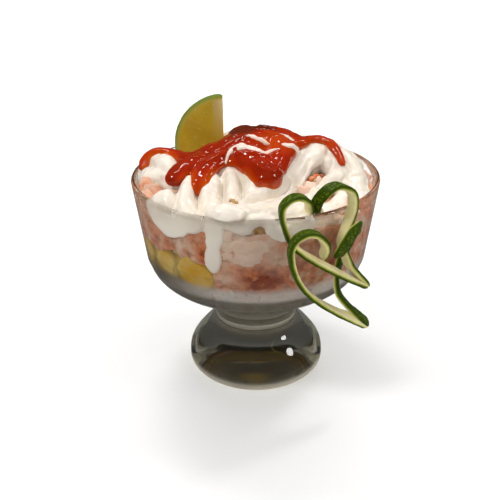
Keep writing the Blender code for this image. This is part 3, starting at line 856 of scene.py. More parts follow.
def prawnFinish(build):
    # shreds and flakes of about two millimetres, pale on top and redder towards the painted shade in the
    # gaps between them
    material, tree, shader = newFinish("cookedPrawn")
    place = objectPlace(tree)
    pale = numberOn(tree, "pale")
    stir = addNode(tree, "TexNoise", Scale=240.0, Detail=2.0, Vector=place).outputs["Color"]
    push = vectorCalc(tree, "MULTIPLY_ADD", stir, (0.0045, 0.0045, 0.0045), place)
    shreds = addNode(tree, "TexVoronoi", feature="SMOOTH_F1", Scale=330.0, Smoothness=0.6, Vector=push)
    hollow = shreds.outputs["Distance"]
    fine = noiseOn(tree, place, 700.0, 4.0, 0.65)
    broad = noiseOn(tree, place, 150.0, 3.0, 0.6)
    total = numberOn(tree, "orange")
    for value, weight in ((hollow, 0.35), (fine, 0.45), (broad, 2.6)):
        total = calc(tree, "MULTIPLY_ADD", value, weight, total)
    stops = [(0.0, build["pale"]), (0.3, build["tan"]), (0.62, build["pink"]), (0.95, build["redBrown"])]
    colour = ramp(tree, remap(tree, total, 1.35, 2.75), stops)
    colour = mixColour(tree, pale, colour, build["pale"])
    # paler pieces and those near the top are smoother
    relief = calc(tree, "MULTIPLY", remap(tree, pale, 0.0, 1.0, 1.0, 0.2), numberOn(tree, "shred"))
    # painted shade, dark red, in the hollows between the shreds
    gapShade = calc(tree, "MULTIPLY", ramp(tree, hollow, [(0.5, 0.0), (0.95, 0.6)]), relief)
    colour = mixColour(tree, gapShade, colour, build["gapShade"])
    lumps = bumpFrom(tree, calc(tree, "MULTIPLY", hollow, relief), 0.6, -1.3)
    setShader(
        shader,
        Base_Color=glassFloorShade(tree, place, colour),
        Normal=bumpFrom(tree, fine, 0.4, 0.4, lumps),
        Roughness=ramp(tree, broad, [(0.3, 0.3), (0.7, 0.5)]),
        Specular_IOR_Level=0.12,
        Subsurface_Weight=0.25,
        Subsurface_Radius=(1.0, 0.4, 0.25),
        Subsurface_Scale=0.0015,
    )
    return material


# the yellow fruit

fruitBuild = {
    "chunks": [  # azimuth, height, size, turn; the two at the front left first
        (-47.5, 70.5, 5.6, 0.3), (-29.5, 70.0, 7.0, 0.6), (-64, 71.5, 4.6, 0.9), (-78, 68.0, 5.6, 0.3),
        (-95, 71.0, 5.4, 0.7), (-112, 67.5, 6.0, 0.1), (-129, 71.0, 5.6, 1.0), (-146, 68.0, 5.8, 0.5),
        (-163, 71.0, 5.6, 0.2), (-180, 67.5, 6.0, 0.8), (163, 70.5, 5.6, 0.4), (146, 68.0, 5.8, 1.1),
        (129, 71.0, 5.4, 0.6), (113, 68.0, 5.6, 0.3), (-68, 61.0, 4.2, 0.2), (-90, 61.5, 5.4, 0.9),
        (-116, 62.0, 5.2, 0.4), (-141, 61.5, 5.4, 0.1), (-166, 62.0, 5.2, 0.6), (169, 61.5, 5.4, 0.3),
        (144, 62.0, 5.2, 0.9), (120, 61.8, 5.2, 0.5),
    ],
    "deep": (0.56, 0.24, 0.010),
    "amber": (0.66, 0.37, 0.03),
    "light": (0.74, 0.53, 0.17),
    "shadeFillDark": (0.20, 0.135, 0.045),
    "shadeFillLight": (0.40, 0.27, 0.09),
    "shadeFill": [  # radius and height of the dark fill between the chunks, painted shade
        (0.4, 50.8), (22.4, 50.9), (36.0, 53.6), (46.2, 60.8), (50.6, 70.0), (51.6, 77.5), (30.0, 78.5),
        (0.4, 78.5),
    ],
    "paleChunk": 0,  # the least ripe one
    "seed": 4,
}


def fruitFinish(build):
    material, tree, shader = newFinish("yellowFruit")
    place = objectPlace(tree)
    patches = noiseOn(tree, place, 110.0)
    total = calc(tree, "MULTIPLY_ADD", numberOn(tree, "ripe"), -0.28, patches)
    flesh = ramp(tree, total, [(0.15, build["deep"]), (0.33, build["amber"]), (0.56, build["light"])])
    # painted shade: the dark colour of the fill between the chunks
    shadeFillColour = ramp(tree, noiseOn(tree, place, 130.0), [(0.38, build["shadeFillDark"]), (0.66, build["shadeFillLight"])])
    colour = mixColour(tree, numberOn(tree, "shadeFill"), flesh, shadeFillColour)
    setShader(
        shader,
        Base_Color=glassFloorShade(tree, place, colour),
        Normal=bumpFrom(tree, noiseOn(tree, place, 500.0), 0.35, 0.3),
        Roughness=ramp(tree, patches, [(0.3, 0.22), (0.7, 0.4)]),
        Specular_IOR_Level=0.05,
        Subsurface_Weight=0.45,
        Subsurface_Radius=(1.0, 0.6, 0.15),
        Subsurface_Scale=0.005,
    )
    return material


def makeFruit(build):
    shake = random.Random(build["seed"])
    base = addPrimitive("cube", "fruitChunk", size=2.0)
    shapeWith(base, "BEVEL", width=0.5, segments=3)
    shapeWith(base, "SUBSURF", levels=2, render_levels=2)
    places = []
    for azimuth, height, size, turn in build["chunks"]:
        radius = float(insideRadius(height)) - size * 0.45
        around = Matrix.Rotation(math.radians(azimuth), 4, "Z")
        spin = Matrix.Rotation(turn, 4, "Y")
        for axis in "XZ":
            spin = spin @ Matrix.Rotation(shake.uniform(-0.2, 0.2), 4, axis)
        sides = [size * shake.uniform(*limits) for limits in ((0.95, 1.2), (0.9, 1.1), (0.85, 1.05))]
        bite = shake.uniform(0.9, 1.3)
        ripe = 0.0 if len(places) == build["paleChunk"] else shake.uniform(0.25, 1)
        stretch = Matrix.Diagonal((*sides, 1))
        matrix = around @ moveTo(0, -radius, height) @ spin @ stretch @ Matrix.Scale(mm, 4)
        places.append((0, matrix, {"bite": bite, "ripe": ripe}))
    obj = copyAll([base], "fruitChunks", places)
    wobble(obj, [(6.0, 2.4), (2.6, 1.1)])
    pressToGlass(obj, readValues(obj, "bite"), 0.7)
    writeValues(obj, "shadeFill", np.zeros(len(obj.data.vertices)))
    finish = fruitFinish(build)
    finishPiece(obj, finish, "yellow_fruit", "fruit_layer")
    shadeFill = fruitShadeFill(build)
    finishPiece(shadeFill, finish, "yellow_fruit")
    print("fruit done", len(obj.data.polygons), len(shadeFill.data.polygons))


def fruitShadeFill(build):
    # a dark fill between the chunks, against the glass where the fruit lies: painted shade in the gaps
    obj = turnedShape("fruitShadeFill", build["shadeFill"], 96)
    meltSkin(obj, 1.1)
    wobble(obj, [(6.0, 2.4)])
    points = readPoints(obj) / mm
    pressToGlass(obj, 6 * fruitShare(points, 8) - 5.7, 0.3)
    azimuth = azimuthOf(points)
    away = np.full(len(points), 2.0)  # from the nearest chunk, in chunk sizes
    ripe = np.zeros(len(points))
    for number, (middle, height, size, _) in enumerate(build["chunks"]):
        across = np.radians((azimuth - middle + 180) % 360 - 180) * insideRadius(height)
        reach = np.hypot(across, points[:, 2] - height) / size
        ripe = np.where(reach < away, 0.0 if number == build["paleChunk"] else 0.6, ripe)
        away = np.minimum(away, reach)
    writeValues(obj, "shadeFill", np.clip((away - 0.9) / 0.7, 0, 1))
    writeValues(obj, "ripe", ripe)
    return obj


# the sauce

sauceBuild = {
    "strokes": [  # x, y, z and radius along each
        # the thin run out to the left, the fat lobe and the drip beside it
        [(-50, 0.5, 99.8, 2.6), (-49.5, 4, 101.5, 3.1), (-47, 7, 103.3, 3.5), (-42.5, 8, 103.9, 3.7),
         (-37.3, 6, 103.9, 3.7), (-32, 2, 104, 3.9), (-27, -1.5, 104.5, 4.2)],
        [(-20, -4, 106.5, 4.4), (-25.5, -8.5, 105, 5), (-30, -13.2, 103.2, 5.5),
         (-33.2, -17.4, 101.4, 5.1)],
        [(-12, -8, 108, 4.8), (-17, -12.6, 106.5, 4.9), (-20.8, -18.4, 104, 5.0),
         (-22.6, -23.2, 101.6, 4.9), (-23.2, -26.4, 100.2, 4.2)],
        [(-15, -9.5, 107.2, 4), (-11.2, -12, 106.2, 3.7), (-7, -12.5, 106.8, 4)],
        # the heap in the middle and the big lobe
        [(-27, -1.5, 104.5, 3.8), (-20, -2, 107, 5.6), (-10, 0, 109.5, 6.6), (-5, 10, 110, 7),
         (-4, 17, 109, 5.5)],
        [(-6.5, -6.5, 108.8, 6.6), (-2.6, -12.6, 107.2, 7.2), (2.2, -19, 104.9, 7.6),
         (4.4, -23.2, 103, 7.4)],
        [(0, 0, 110, 8), (7, 2, 110, 7.5), (11.5, -4, 109, 6.5), (9.5, -12, 107.2, 6), (8.5, -18, 105, 5)],
        [(2, 13, 110, 6.5), (10, 12, 110.2, 6), (17, 6, 109.6, 5)],
        [(-35, 8, 100.8, 2.8), (-30, 11, 99.6, 3.2), (-24.5, 12.5, 100.2, 3.4), (-18.5, 13.5, 102.6, 3.6),
         (-14, 14, 105, 4), (-10, 14.5, 107.4, 4.6), (-5, 15, 109.6, 5.5)],
        # the run over the ribbon to the right
        [(14, 1, 109.6, 5), (19.7, 2, 110.2, 3.9), (23.6, 6, 110.3, 3.1), (28.2, 8, 110.4, 2.9),
         (32.1, 6, 109.6, 2.8), (34.9, 2, 107.8, 2.7), (36.7, -2, 105.4, 2.4), (37.7, -5.5, 103.4, 2)],
    ],
    "ridges": [  # raised swirls: x, y and radius, let down on the sauce
        [(-1.4, -22, 0.9), (1, -25.2, 1.2), (3.4, -26.8, 1.3), (5.8, -27.4, 1.3), (8, -26.4, 1.3),
         (8.8, -23.6, 1.2), (7.8, -20.8, 1.1), (5.6, -19.6, 0.9)],
        [(2.6, -20.6, 0.8), (3.6, -23.4, 1.0), (5.6, -24.4, 1.0), (6.6, -22.6, 0.8)],
        [(-26, -11, 1.0), (-21.5, -9.6, 1.4), (-16.5, -9.6, 1.6), (-12.5, -6.6, 1.6), (-8.3, -3.4, 1.5),
         (-5, 0.5, 1.2)],
        [(-20.4, -17, 0.9), (-16.3, -14.6, 1.2), (-12.2, -12.2, 1.4), (-8.1, -10.9, 1.3), (-4, -10.4, 1.0)],
        [(-8, -14, 0.9), (-4, -15.6, 1.2), (1, -16.6, 1.4), (5.5, -15.6, 1.3), (9.5, -12.6, 1.1)],
        [(-8, 0, 1.2), (-4.1, 5, 1.7), (-1.4, 4.4, 1.4), (3, 1.4, 1.4), (7.4, 0.2, 1.3), (12, -0.6, 1.0)],
        [(-12, 12, 1.2), (-7, 14, 1.7), (-3, 15.5, 1.9), (1, 13, 1.4), (4, 12.5, 1.6), (9, 10.5, 1.4)],
        [(-31, 8, 0.8), (-25, 9, 1.1), (-19, 9.4, 1.2), (-13, 9, 1.0)],
        [(-4.8, 15, 1.2), (-4.1, 15.6, 1.6)],
        [(1.6, 15.6, 1.0), (2.3, 16, 1.3)],
        [(-9.8, 13.6, 0.9), (-9.2, 14, 1.2)],
    ],
    "streaks": [  # cream that shows between the swirls: x, y and radius, let down on the sauce
        [(-12.4, -15, 0.7), (-10.6, -11.8, 1.3), (-8, -9.8, 2.3), (-3.6, -11.4, 2.6), (1.1, -12.6, 2.4),
         (5.6, -11.6, 1.8), (9.8, -11.2, 0.9)],
        [(-3.8, -1.0, 0.8), (-1.6, -2.3, 1.4), (1.6, -3.8, 1.6), (4, -4.8, 1.3), (6.2, -5.4, 0.7)],
        [(11.6, -7.6, 0.9), (14, -7.2, 1.9), (16.5, -5.8, 1.9), (19, -3.4, 0.9)],
        [(10.6, 0.8, 1.2), (13.6, 0.4, 2.0), (16.4, -0.6, 1.2)],
    ],
    "bodyVoxel": 0.8,
    "voxel": 0.5,
    "streakVoxel": 0.35,
    "flatness": 0.7,
    "smoothing": 3,
    "deep": 3.6,  # where the sauce is at its darkest
    "thinSpot": (9, -4, 7),  # x, y and reach
    "darkSpot": (-3, 11, 8),
    "colours": [
        (0.12, (0.60, 0.125, 0.006)), (0.3, (0.46, 0.048, 0.002)), (0.68, (0.34, 0.016, 0.0015)),
        (1.0, (0.12, 0.014, 0.003)),
    ],
    "stained": ((0.80, 0.58, 0.47), (0.88, 0.76, 0.67)),
}


def surfaceOf(obj):
    # a search tree over the piece's faces
    points = [vert.co.copy() for vert in obj.data.vertices]
    return BVHTree.FromPolygons(points, [list(face.vertices) for face in obj.data.polygons])


def sauceFinish(build):
    material, tree, shader = newFinish("redCocktailSauce")
    place = objectPlace(tree)
    depth = calc(tree, "MULTIPLY_ADD", noiseOn(tree, place, 110.0), 0.3, numberOn(tree, "depth"))
    setShader(
        shader,
        Base_Color=ramp(tree, depth, build["colours"]),
        Normal=bumpFrom(tree, noiseOn(tree, place, 200.0, 2.0), 0.1, 0.3),
        Roughness=0.06,
        IOR=1.36,
        Specular_IOR_Level=0.5,
        Subsurface_Weight=0.12,
        Subsurface_Radius=(1.0, 0.15, 0.03),
        Subsurface_Scale=0.002,
    )
    return material


def letDown(ground, strokes, sink):
    # balls along strokes of x, y and radius, let down on the ground from above
    matrices = []
    for stroke in strokes:
        for x, y, radius in smoothRun(stroke, swirlSteps):
            found = ground.ray_cast(Vector((x, y, 130)) * mm, Vector((0, 0, -1)))[0]
            if found is not None:
                low = found - Vector((0, 0, sink * radius)) * mm
                matrices.append(Matrix.Translation(low) @ Matrix.Scale(radius, 4))
    return matrices


def settleOn(ground, x, y, z, radius, flatness):
    # a flattened ball that lies on the ground, half sunk, where its stroke passes
    spot = Vector((x, y, z)) * mm
    found, normal = ground.find_nearest(spot)[:2]
    rise = (spot - found).dot(normal)
    settled = spot + normal * (max(-0.1 * radius * mm, min(0.3 * radius * mm, rise)) - rise)
    up = (normal + Vector((0, 0, 0.6))).normalized()
    turn = up.to_track_quat("Z", "Y").to_matrix().to_4x4()
    return Matrix.Translation(settled) @ turn @ Matrix.Diagonal((radius, radius, radius * flatness, 1))


def sauceDepth(build, ground, point):
    # how thick the sauce lies at a point, as a share; darker and thinner in two places
    found, normal, _, gap = ground.find_nearest(point)
    if (point - found).dot(normal) < 0:
        return 0.0
    thin, dark = [
        math.exp(-((point.x / mm - x) ** 2 + (point.y / mm - y) ** 2) / (2 * reach**2))
        for x, y, reach in (build["thinSpot"], build["darkSpot"])
    ]
    return 0.6 * min(gap / (build["deep"] * mm), 1.0) * (1 - 0.75 * thin) + 0.5 * dark


def makeSauce(build, cream):
    ground = surfaceOf(cream)
    balls = []
    for stroke in build["strokes"]:
        balls += [settleOn(ground, *ball, build["flatness"]) for ball in smoothRun(stroke, ballSteps)]
    body = ballsAt("cocktailSauce", balls)
    meltSkin(body, build["bodyVoxel"], build["smoothing"])
    swirls = ballsAt("sauceRidges", letDown(surfaceOf(body), build["ridges"], 0.35), 2)
    obj = joinAll([body, swirls])
    meltSkin(obj, skinVoxel(build), build["smoothing"])
    wobble(obj, [(6.0, 0.8)])
    pressToGlass(obj, 1.4)
    writeValues(obj, "depth", [sauceDepth(build, ground, vert.co) for vert in obj.data.vertices])
    finishPiece(obj, sauceFinish(build), "red_sauce", "cocktail_sauce")
    print("sauce done", len(obj.data.polygons))
    return obj


def makeStreaks(build, sauce):
    # where the cream comes up between the swirls
    obj = ballsAt("creamStreaks", letDown(surfaceOf(sauce), build["streaks"], 0.72), 2)
    meltSkin(obj, build["streakVoxel"], build["smoothing"])
    wobble(obj, [(2.5, 0.9)])
    finishPiece(obj, creamFinish("stainedCream", *build["stained"]), "cream")
    print("streaks done", len(obj.data.polygons))


# the lime wedge

wedgeBuild = {
    "radius": 24.0,
    "angle": 58.0,  # between the two cut faces
    "core": (-14.5, 22.0),  # x and y of the straight edge
    "top": 127.0,
    "voxel": 0.5,
    "flesh": [(0.3, (0.44, 0.29, 0.014)), (0.55, (0.53, 0.37, 0.022)), (0.75, (0.60, 0.44, 0.045))],
    "sacLine": (0.5, 0.42, 0.12),
    "speck": (0.6, 0.5, 0.2),
    "pith": (0.68, 0.56, 0.31),
    "rind": [(0.93, (0.42, 0.38, 0.068)), (0.975, (0.27, 0.30, 0.05)), (1.0, (0.12, 0.19, 0.02))],
}


def wedgeFinish(build, middle):
    material, tree, shader = newFinish("cutLime")
    shift = addNode(tree, "Mapping", Location=-Vector(middle) * mm, Vector=objectPlace(tree))
    local = shift.outputs["Vector"]
    # juice sacs, drawn out away from the core
    drawn = vectorCalc(tree, "MULTIPLY", vectorCalc(tree, "NORMALIZE", local), (3.2, 3.2, 3.2))
    stretch = vectorCalc(tree, "MULTIPLY_ADD", local, (42.0, 42.0, 42.0), drawn)
    cells = addNode(tree, "TexVoronoi", feature="DISTANCE_TO_EDGE", Scale=2.6, Vector=stretch)
    sacs = cells.outputs["Distance"]
    flesh = ramp(tree, noiseOn(tree, local, 70.0), build["flesh"])
    flesh = mixColour(tree, ramp(tree, sacs, [(0.0, 0.16), (0.12, 0.0)]), flesh, build["sacLine"])
    specks = ramp(tree, noiseOn(tree, local, 900.0, 1.0), [(0.67, 0.0), (0.72, 0.6)])
    flesh = mixColour(tree, specks, flesh, build["speck"])
    # pale pith along the straight edge, and the rind round the outside
    fromCore = vectorCalc(tree, "LENGTH", vectorCalc(tree, "MULTIPLY", local, (1.0, 1.0, 0.0)))
    nearCore = remap(tree, fromCore, 6 * mm, 0.6 * mm)
    upward = remap(tree, axisOf(tree, local, "Z"), 2 * mm, 20 * mm)
    flesh = mixColour(tree, calc(tree, "MULTIPLY", nearCore, upward), flesh, build["pith"])
    reach = calc(tree, "DIVIDE", vectorCalc(tree, "LENGTH", local), build["radius"] * mm)
    edge = calc(tree, "MULTIPLY_ADD", noiseOn(tree, local, 220.0, 2.0), 0.02, reach)
    layers = ramp(tree, edge, [(0.89, 0.0), (0.95, 1.0)])
    pores = bumpFrom(tree, noiseOn(tree, local, 1100.0, 1.0), 0.25, 0.2)
    setShader(
        shader,
        Base_Color=mixColour(tree, layers, flesh, ramp(tree, edge, build["rind"])),
        Normal=bumpFrom(tree, sacs, 0.3, 0.25, pores),
        Roughness=0.32,
        IOR=1.34,
        Subsurface_Weight=0.35,
        Subsurface_Radius=(1.0, 0.9, 0.25),
        Subsurface_Scale=0.005,
    )
    return material


def makeWedge(build):
    middle = (*build["core"], build["top"] - build["radius"])
    centre = Vector(middle) * mm
    size = {"segments": 96, "ring_count": 64, "radius": build["radius"] * mm}
    obj = addPrimitive("uv_sphere", "limeWedge", location=centre, **size)
    pick(obj)
    turn = math.radians(build["angle"])
    between = centre + Vector((0.013, 0.017, 0.011)) * mm  # just off the sphere's own points
    bpy.ops.object.mode_set(mode="EDIT")
    for cut in ((0, -1, 0), (math.sin(turn), math.cos(turn), 0)):  # the two cut faces
        bpy.ops.mesh.select_all(action="SELECT")
        plane = {"plane_co": between, "plane_no": cut, "threshold": sameSpot}
        bpy.ops.mesh.bisect(use_fill=True, clear_outer=True, **plane)
    bpy.ops.object.mode_set(mode="OBJECT")
    meltSkin(obj, build["voxel"], 3)
    wobble(obj, [(3.0, 0.25)])
    finishPiece(obj, wedgeFinish(build, middle), "lime_flesh", "lime_wedge", angle=60)
    print("wedge done", len(obj.data.polygons))


# the peel hearts

peelBuild = {
    "thickness": 2.3,
    "upperWidth": 4.7,
    "lowerWidth": 4.5,
    "steps": 9,
    "layers": [
        (0.08, (0.76, 0.69, 0.37)), (0.3, (0.44, 0.43, 0.11)), (0.46, (0.15, 0.20, 0.010)),
        (0.64, (0.034, 0.062, 0.001)),
    ],
    # lighter dots on the rind's pores: their own colour, and painted highlights
    "poreDotsAndGlints": (0.13, 0.18, 0.010),
    # azimuth, height, distance from the glass and turn about its own line, along each side
    "upperLeft": [
        (21, 91, -6.2, 0), (24.5, 96.5, -5.8, 0), (22.5, 102.2, -3.8, 0), (19, 105.4, -2, 0),
        (15.5, 106.6, -1, 0), (12, 106, 0.4, 0), (9.7, 104, 2, 0), (9.5, 100.5, 3, 0), (10.7, 96, 3.1, 0),
        (13.2, 89.6, 3.2, 0), (16.5, 86, 4.6, 5), (21, 82.6, 6.8, 10), (26, 79, 8.6, 15),
        (32, 74.4, 9.8, 15), (38.6, 69.3, 11, 10), (44.6, 64.6, 12, 5),
    ],
    "upperRight": [
        (28.5, 91, -6.4, 15), (28, 96.5, -6.1, 20), (27.3, 101.5, -4.4, 35), (28.4, 105.6, -2.2, 28),
        (30.6, 108, -1, 14), (33.5, 108.6, 0, 5), (37, 107, 1, 0), (39, 104.6, 2.2, 0), (39.4, 100.2, 3, 0),
        (39, 96, 3.1, 0), (37.4, 90.5, 3.1, 0), (36, 85, 3.3, 0), (37, 80, 5, 0), (38, 75.5, 7.6, 0),
        (41.6, 70, 10, 0), (45.6, 64.6, 12, 0),
    ],
    "lowerLeft": [
        (27.6, 80, 3, 10), (27.6, 84.4, 4.2, 10), (25.6, 88.8, 5.8, 5), (21.8, 93.4, 7.2, 0),
        (17.8, 95.4, 8.2, 0), (14, 94.2, 8.6, 0), (12, 90, 8.6, 0), (12.2, 85, 8.6, 0),
        (13.5, 79.4, 8.6, 0), (16, 73.5, 8.8, 0), (19.4, 68.4, 9.2, 0), (24, 63.6, 10, 5),
        (29.6, 58.8, 11, 15), (35.4, 54.4, 12, 30), (41, 50, 13, 45), (46, 46, 13.8, 60),
    ],
    "lowerRight": [
        (32.4, 80.5, 5.8, 80), (32.4, 84.6, 7.8, 82), (33.2, 88.8, 8.9, 85), (35.2, 92, 9.2, 85),
        (38.4, 92.6, 8.2, 85), (41.4, 91, 5.6, 85), (42.6, 85.4, 3, 85), (41, 79, 1.7, 85),
        (38.2, 73.4, 1.9, 75), (35.6, 69, 4, 60), (34.2, 64.6, 6.8, 45), (36, 60, 9, 30),
        (39, 55.6, 11, 30), (42.6, 50.8, 13, 45), (46.4, 46, 13.8, 60),
    ],
}


def wallOutside(height, build=glassBuild):
    # the radius of the glass's outside above the bowl's turn, drawn on past the rim
    radius, start = build["bowl"][-1]
    share = (max(height, start) - start) / (build["rimHeight"] - start)
    return radius + (build["rimRadius"] - radius) * share


def peelSection(sides=28):
    # a rounded bar: (across the width, through the thickness), both -1 to 1
    section = []
    for step in range(sides):
        c, s = math.cos(math.tau * step / sides), math.sin(math.tau * step / sides)
        section.append((math.copysign(abs(c) ** 0.42, c), math.copysign(abs(s) ** 0.55, s)))
    return section


def peelStrip(name, route, width, build, rindSide):
    # a grid rolled into a flat bar along its route; it keeps how near each point is to the rind
    stations = []
    for azimuth, height, standoff, turn in smoothRun(route, build["steps"]):
        angle = math.radians(azimuth)
        out = Vector((math.sin(angle), -math.cos(angle), 0))
        place = out * (wallOutside(height) + standoff) + Vector((0, 0, height))
        stations.append((place, out, math.radians(turn)))
    section = peelSection()
    rows, columns = len(stations), len(section)
    obj = addPrimitive("grid", name, x_subdivisions=columns, y_subdivisions=rows - 1, size=mm)
    points, rind = [], []
    for index, (place, out, turn) in enumerate(stations):
        before = stations[max(index - 1, 0)][0]
        after = stations[min(index + 1, rows - 1)][0]
        ahead = (after - before).normalized()
        edgewise = (out - out.dot(ahead) * ahead).normalized()
        flatwise = ahead.cross(edgewise)
        broad = edgewise * math.cos(turn) + flatwise * math.sin(turn)
        thin = ahead.cross(broad)
        taper = min(1.0, 0.6 + 0.12 * min(index, rows - 1 - index))
        for column in range(columns + 1):
            a, b = section[column % columns]
            across = broad * a * width / 2 * taper
            through = thin * b * build["thickness"] / 2 * taper
            points.append((place + across + through) * mm)
            rind.append(b * rindSide)
    writePoints(obj, np.array(points))
    writeValues(obj, "rind", rind)
    pick(obj)
    bpy.ops.object.mode_set(mode="EDIT")
    bpy.ops.mesh.select_all(action="SELECT")
    bpy.ops.mesh.remove_doubles(threshold=sameSpot)
    bpy.ops.mesh.select_all(action="DESELECT")
    bpy.ops.mesh.select_non_manifold()
    bpy.ops.mesh.edge_face_add()
    bpy.ops.mesh.select_all(action="SELECT")
    bpy.ops.mesh.normals_make_consistent(inside=False)
    bpy.ops.object.mode_set(mode="OBJECT")
    return obj


def peelFinish(build):
    material, tree, shader = newFinish("limePeel")
    place = objectPlace(tree)
    rind = numberOn(tree, "rind")
    level = calc(tree, "MULTIPLY_ADD", noiseOn(tree, place, 300.0), 0.5, rind)
    layers = ramp(tree, remap(tree, level, -0.75, 1.25), build["layers"])
    pores = addNode(tree, "TexVoronoi", feature="F1", Scale=900.0, Vector=place).outputs["Distance"]
    # the pores lighter: their own colour, and painted highlights
    poreDotsAndGlints = ramp(tree, pores, [(0.2, 0.9), (0.5, 0.0)])
    dotted = mixColour(tree, ramp(tree, rind, [(0.75, 0.0), (0.95, 1.0)]), (0.0, 0.0, 0.0), poreDotsAndGlints)
    setShader(
        shader,
        Base_Color=mixColour(tree, dotted, layers, build["poreDotsAndGlints"]),
        Normal=bumpFrom(tree, pores, 0.5, 0.25),
        Roughness=0.42,
        IOR=1.33,
        Specular_IOR_Level=0.18,
        Subsurface_Weight=0.12,
        Subsurface_Radius=(0.6, 1.0, 0.2),
        Subsurface_Scale=0.001,
    )
    return material


def makePeelHearts(build):
    finish = peelFinish(build)
    for name, node, which in (
        ("peelHeartUpper", "peel_heart_upper", "upper"),
        ("peelHeartLower", "peel_heart_lower", "lower"),
    ):
        width = build[which + "Width"]
        strips = [
            peelStrip(name + side, build[which + side], width, build, rindSide)
            for side, rindSide in (("Left", 1), ("Right", -1))
        ]
        obj = joinAll(strips)
        callIt(obj, name)
        wobble(obj, [(3.0, 0.3)])
        finishPiece(obj, finish, "lime_peel", node, angle=70)
    print("peel hearts done")


# the room

roomBuild = {
    "floorSize": 6.0,
    "floorColour": (0.93, 0.93, 0.93),
    "farGlow": (0.3, 1.3, 0.65),  # from and to in metres, and how strong: it keeps the far floor pale
    "mirroredFloor": (0.1, 0.1, 0.1),  # kept dim in the gloss, as a dark room would be
    "mirroredSky": 0.2,
    "floorDrop": 0.1,  # millimetres below the foot
    "horizon": (0.42, 0.37, 0.28),
    "overhead": (1.0, 1.0, 1.0),
    "backdrop": (2.4, 2.4, 2.4),
    "worldStrength": 0.42,
    "lamps": [  # name, place, aimed at, size across and up, watts, seen in gloss, lights the glass
        ("keyLamp", (-0.72, -0.3, 1.0), (0, 0, 0.08), (0.24, 0.18), 5.4, True, False),
        ("overheadLamp", (0.2, 0.4, 2.2), (0.1, 0.3, 0), (2.4, 2.4), 11.0, False, True),
        ("sideLamp", (0.62, -0.2, 0.42), (0, 0, 0.06), (0.16, 0.16), 1.1, True, True),
        ("backLamp", (0.06, 0.62, 0.42), (0, 0, 0.1), (0.6, 0.16), 1.8, False, False),
        ("frontLamp", (-0.2, -1.0, 0.45), (0, 0, 0.08), (0.5, 0.3), 1.4, False, False),
        ("glintLampLeft", (-0.14, 0.3, 0.85), (0, 0, 0.1), (0.22, 0.08), 1.3, True, False),
        ("glintLampRight", (0.3, 0.12, 0.8), (0, 0, 0.1), (0.1, 0.14), 0.9, True, False),
    ],
}

cameraBuild = {
    "place": (0.0, -0.2552, 0.1891),
    "pitch": 0.4742,
    "yaw": -0.0105,
    "roll": -0.008,
    "lens": 43.2,
}


def seenInGloss(tree):
    # 1 for what a glossy surface mirrors
    ray = addNode(tree, "LightPath").outputs
    return calc(tree, "MULTIPLY", ray["Is Reflection Ray"], ray["Is Glossy Ray"])


def seenByCamera(tree):
    return addNode(tree, "LightPath").outputs["Is Camera Ray"]


def makeFloor(build):
    low = (0, 0, -build["floorDrop"] * mm)
    floor = addPrimitive("plane", "floor", size=build["floorSize"], location=low)
    material, tree, shader = newFinish("paleFloor")
    away = vectorCalc(tree, "LENGTH", objectPlace(tree))
    nearest, farthest, glow = build["farGlow"]
    far = remap(tree, away, nearest, farthest, 0.0, glow, interpolation_type="SMOOTHSTEP")
    setShader(
        shader,
        Base_Color=mixColour(tree, seenInGloss(tree), build["floorColour"], build["mirroredFloor"]),
        Emission_Strength=calc(tree, "MULTIPLY", far, seenByCamera(tree)),
        Emission_Color=(1.0, 1.0, 1.0),
        Roughness=0.85,
    )
    floor.data.materials.append(material)


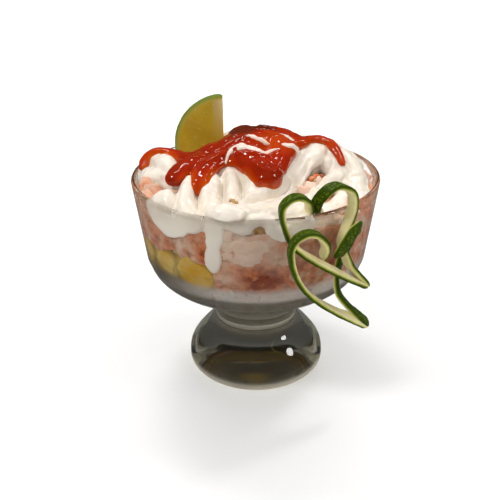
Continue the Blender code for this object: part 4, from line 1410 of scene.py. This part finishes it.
def makeSky(build):
    world = bpy.data.worlds.new("studio")
    world.use_nodes = True
    tree = world.node_tree
    upward = axisOf(tree, addNode(tree, "TexCoord").outputs["Generated"], "Z")
    light = ramp(tree, upward, [(0.12, build["horizon"]), (0.7, build["overhead"])])
    dimmed = remap(tree, seenInGloss(tree), 0.0, 1.0, 1.0, build["mirroredSky"])
    light = mixColour(tree, 1.0, light, dimmed, "MULTIPLY")
    light = mixColour(tree, seenByCamera(tree), light, build["backdrop"])
    setShader(tree.nodes["Background"], Color=light, Strength=build["worldStrength"])
    bpy.context.scene.world = world


def addLamp(glass, name, place, target, size, watts, inGloss, onGlass):
    lamp = bpy.data.lights.new(name, "AREA")
    lamp.shape = "ELLIPSE"
    lamp.size, lamp.size_y = size
    lamp.energy = watts
    obj = bpy.data.objects.new(name, lamp)
    bpy.context.collection.objects.link(obj)
    obj.location = place
    obj.visible_glossy = inGloss
    obj.visible_transmission = False
    obj.rotation_euler = (Vector(target) - Vector(place)).to_track_quat("-Z", "Y").to_euler()
    if not onGlass:  # its mirror image would burn in the foot
        lit = bpy.data.collections.new(name + "Lit")
        lit.objects.link(glass)
        obj.light_linking.receiver_collection = lit
        lit.collection_objects[0].light_linking.link_state = "EXCLUDE"


def makeRoom(build, glass):
    makeFloor(build)
    makeSky(build)
    for lamp in build["lamps"]:
        addLamp(glass, *lamp)
    print("room done")


def makeCamera(build):
    pitch, yaw, roll = build["pitch"], build["yaw"], build["roll"]
    forward = Vector((math.sin(yaw) * math.cos(pitch), math.cos(yaw) * math.cos(pitch), -math.sin(pitch)))
    right = Vector((math.cos(yaw), -math.sin(yaw), 0))
    up = right.cross(forward)
    side = math.cos(roll) * right + math.sin(roll) * up
    top = -math.sin(roll) * right + math.cos(roll) * up
    lens = bpy.data.cameras.new("camera")
    lens.lens = build["lens"]
    lens.clip_start = 0.01
    camera = bpy.data.objects.new("camera", lens)
    bpy.context.collection.objects.link(camera)
    turn = Matrix((side, top, -forward)).transposed().to_4x4()
    camera.matrix_world = Matrix.Translation(build["place"]) @ turn
    bpy.context.scene.camera = camera
    print("camera done")


makeCamera(cameraBuild)
glass = makeGlass(glassBuild)
makeRoom(roomBuild, glass)
makePrawns(prawnBuild)
makeFruit(fruitBuild)
cream = makeCream(creamBuild)
sauce = makeSauce(sauceBuild, cream)
makeStreaks(sauceBuild, sauce)
makeWedge(wedgeBuild)
makePeelHearts(peelBuild)

bpy.context.scene.view_settings.view_transform = "Standard"
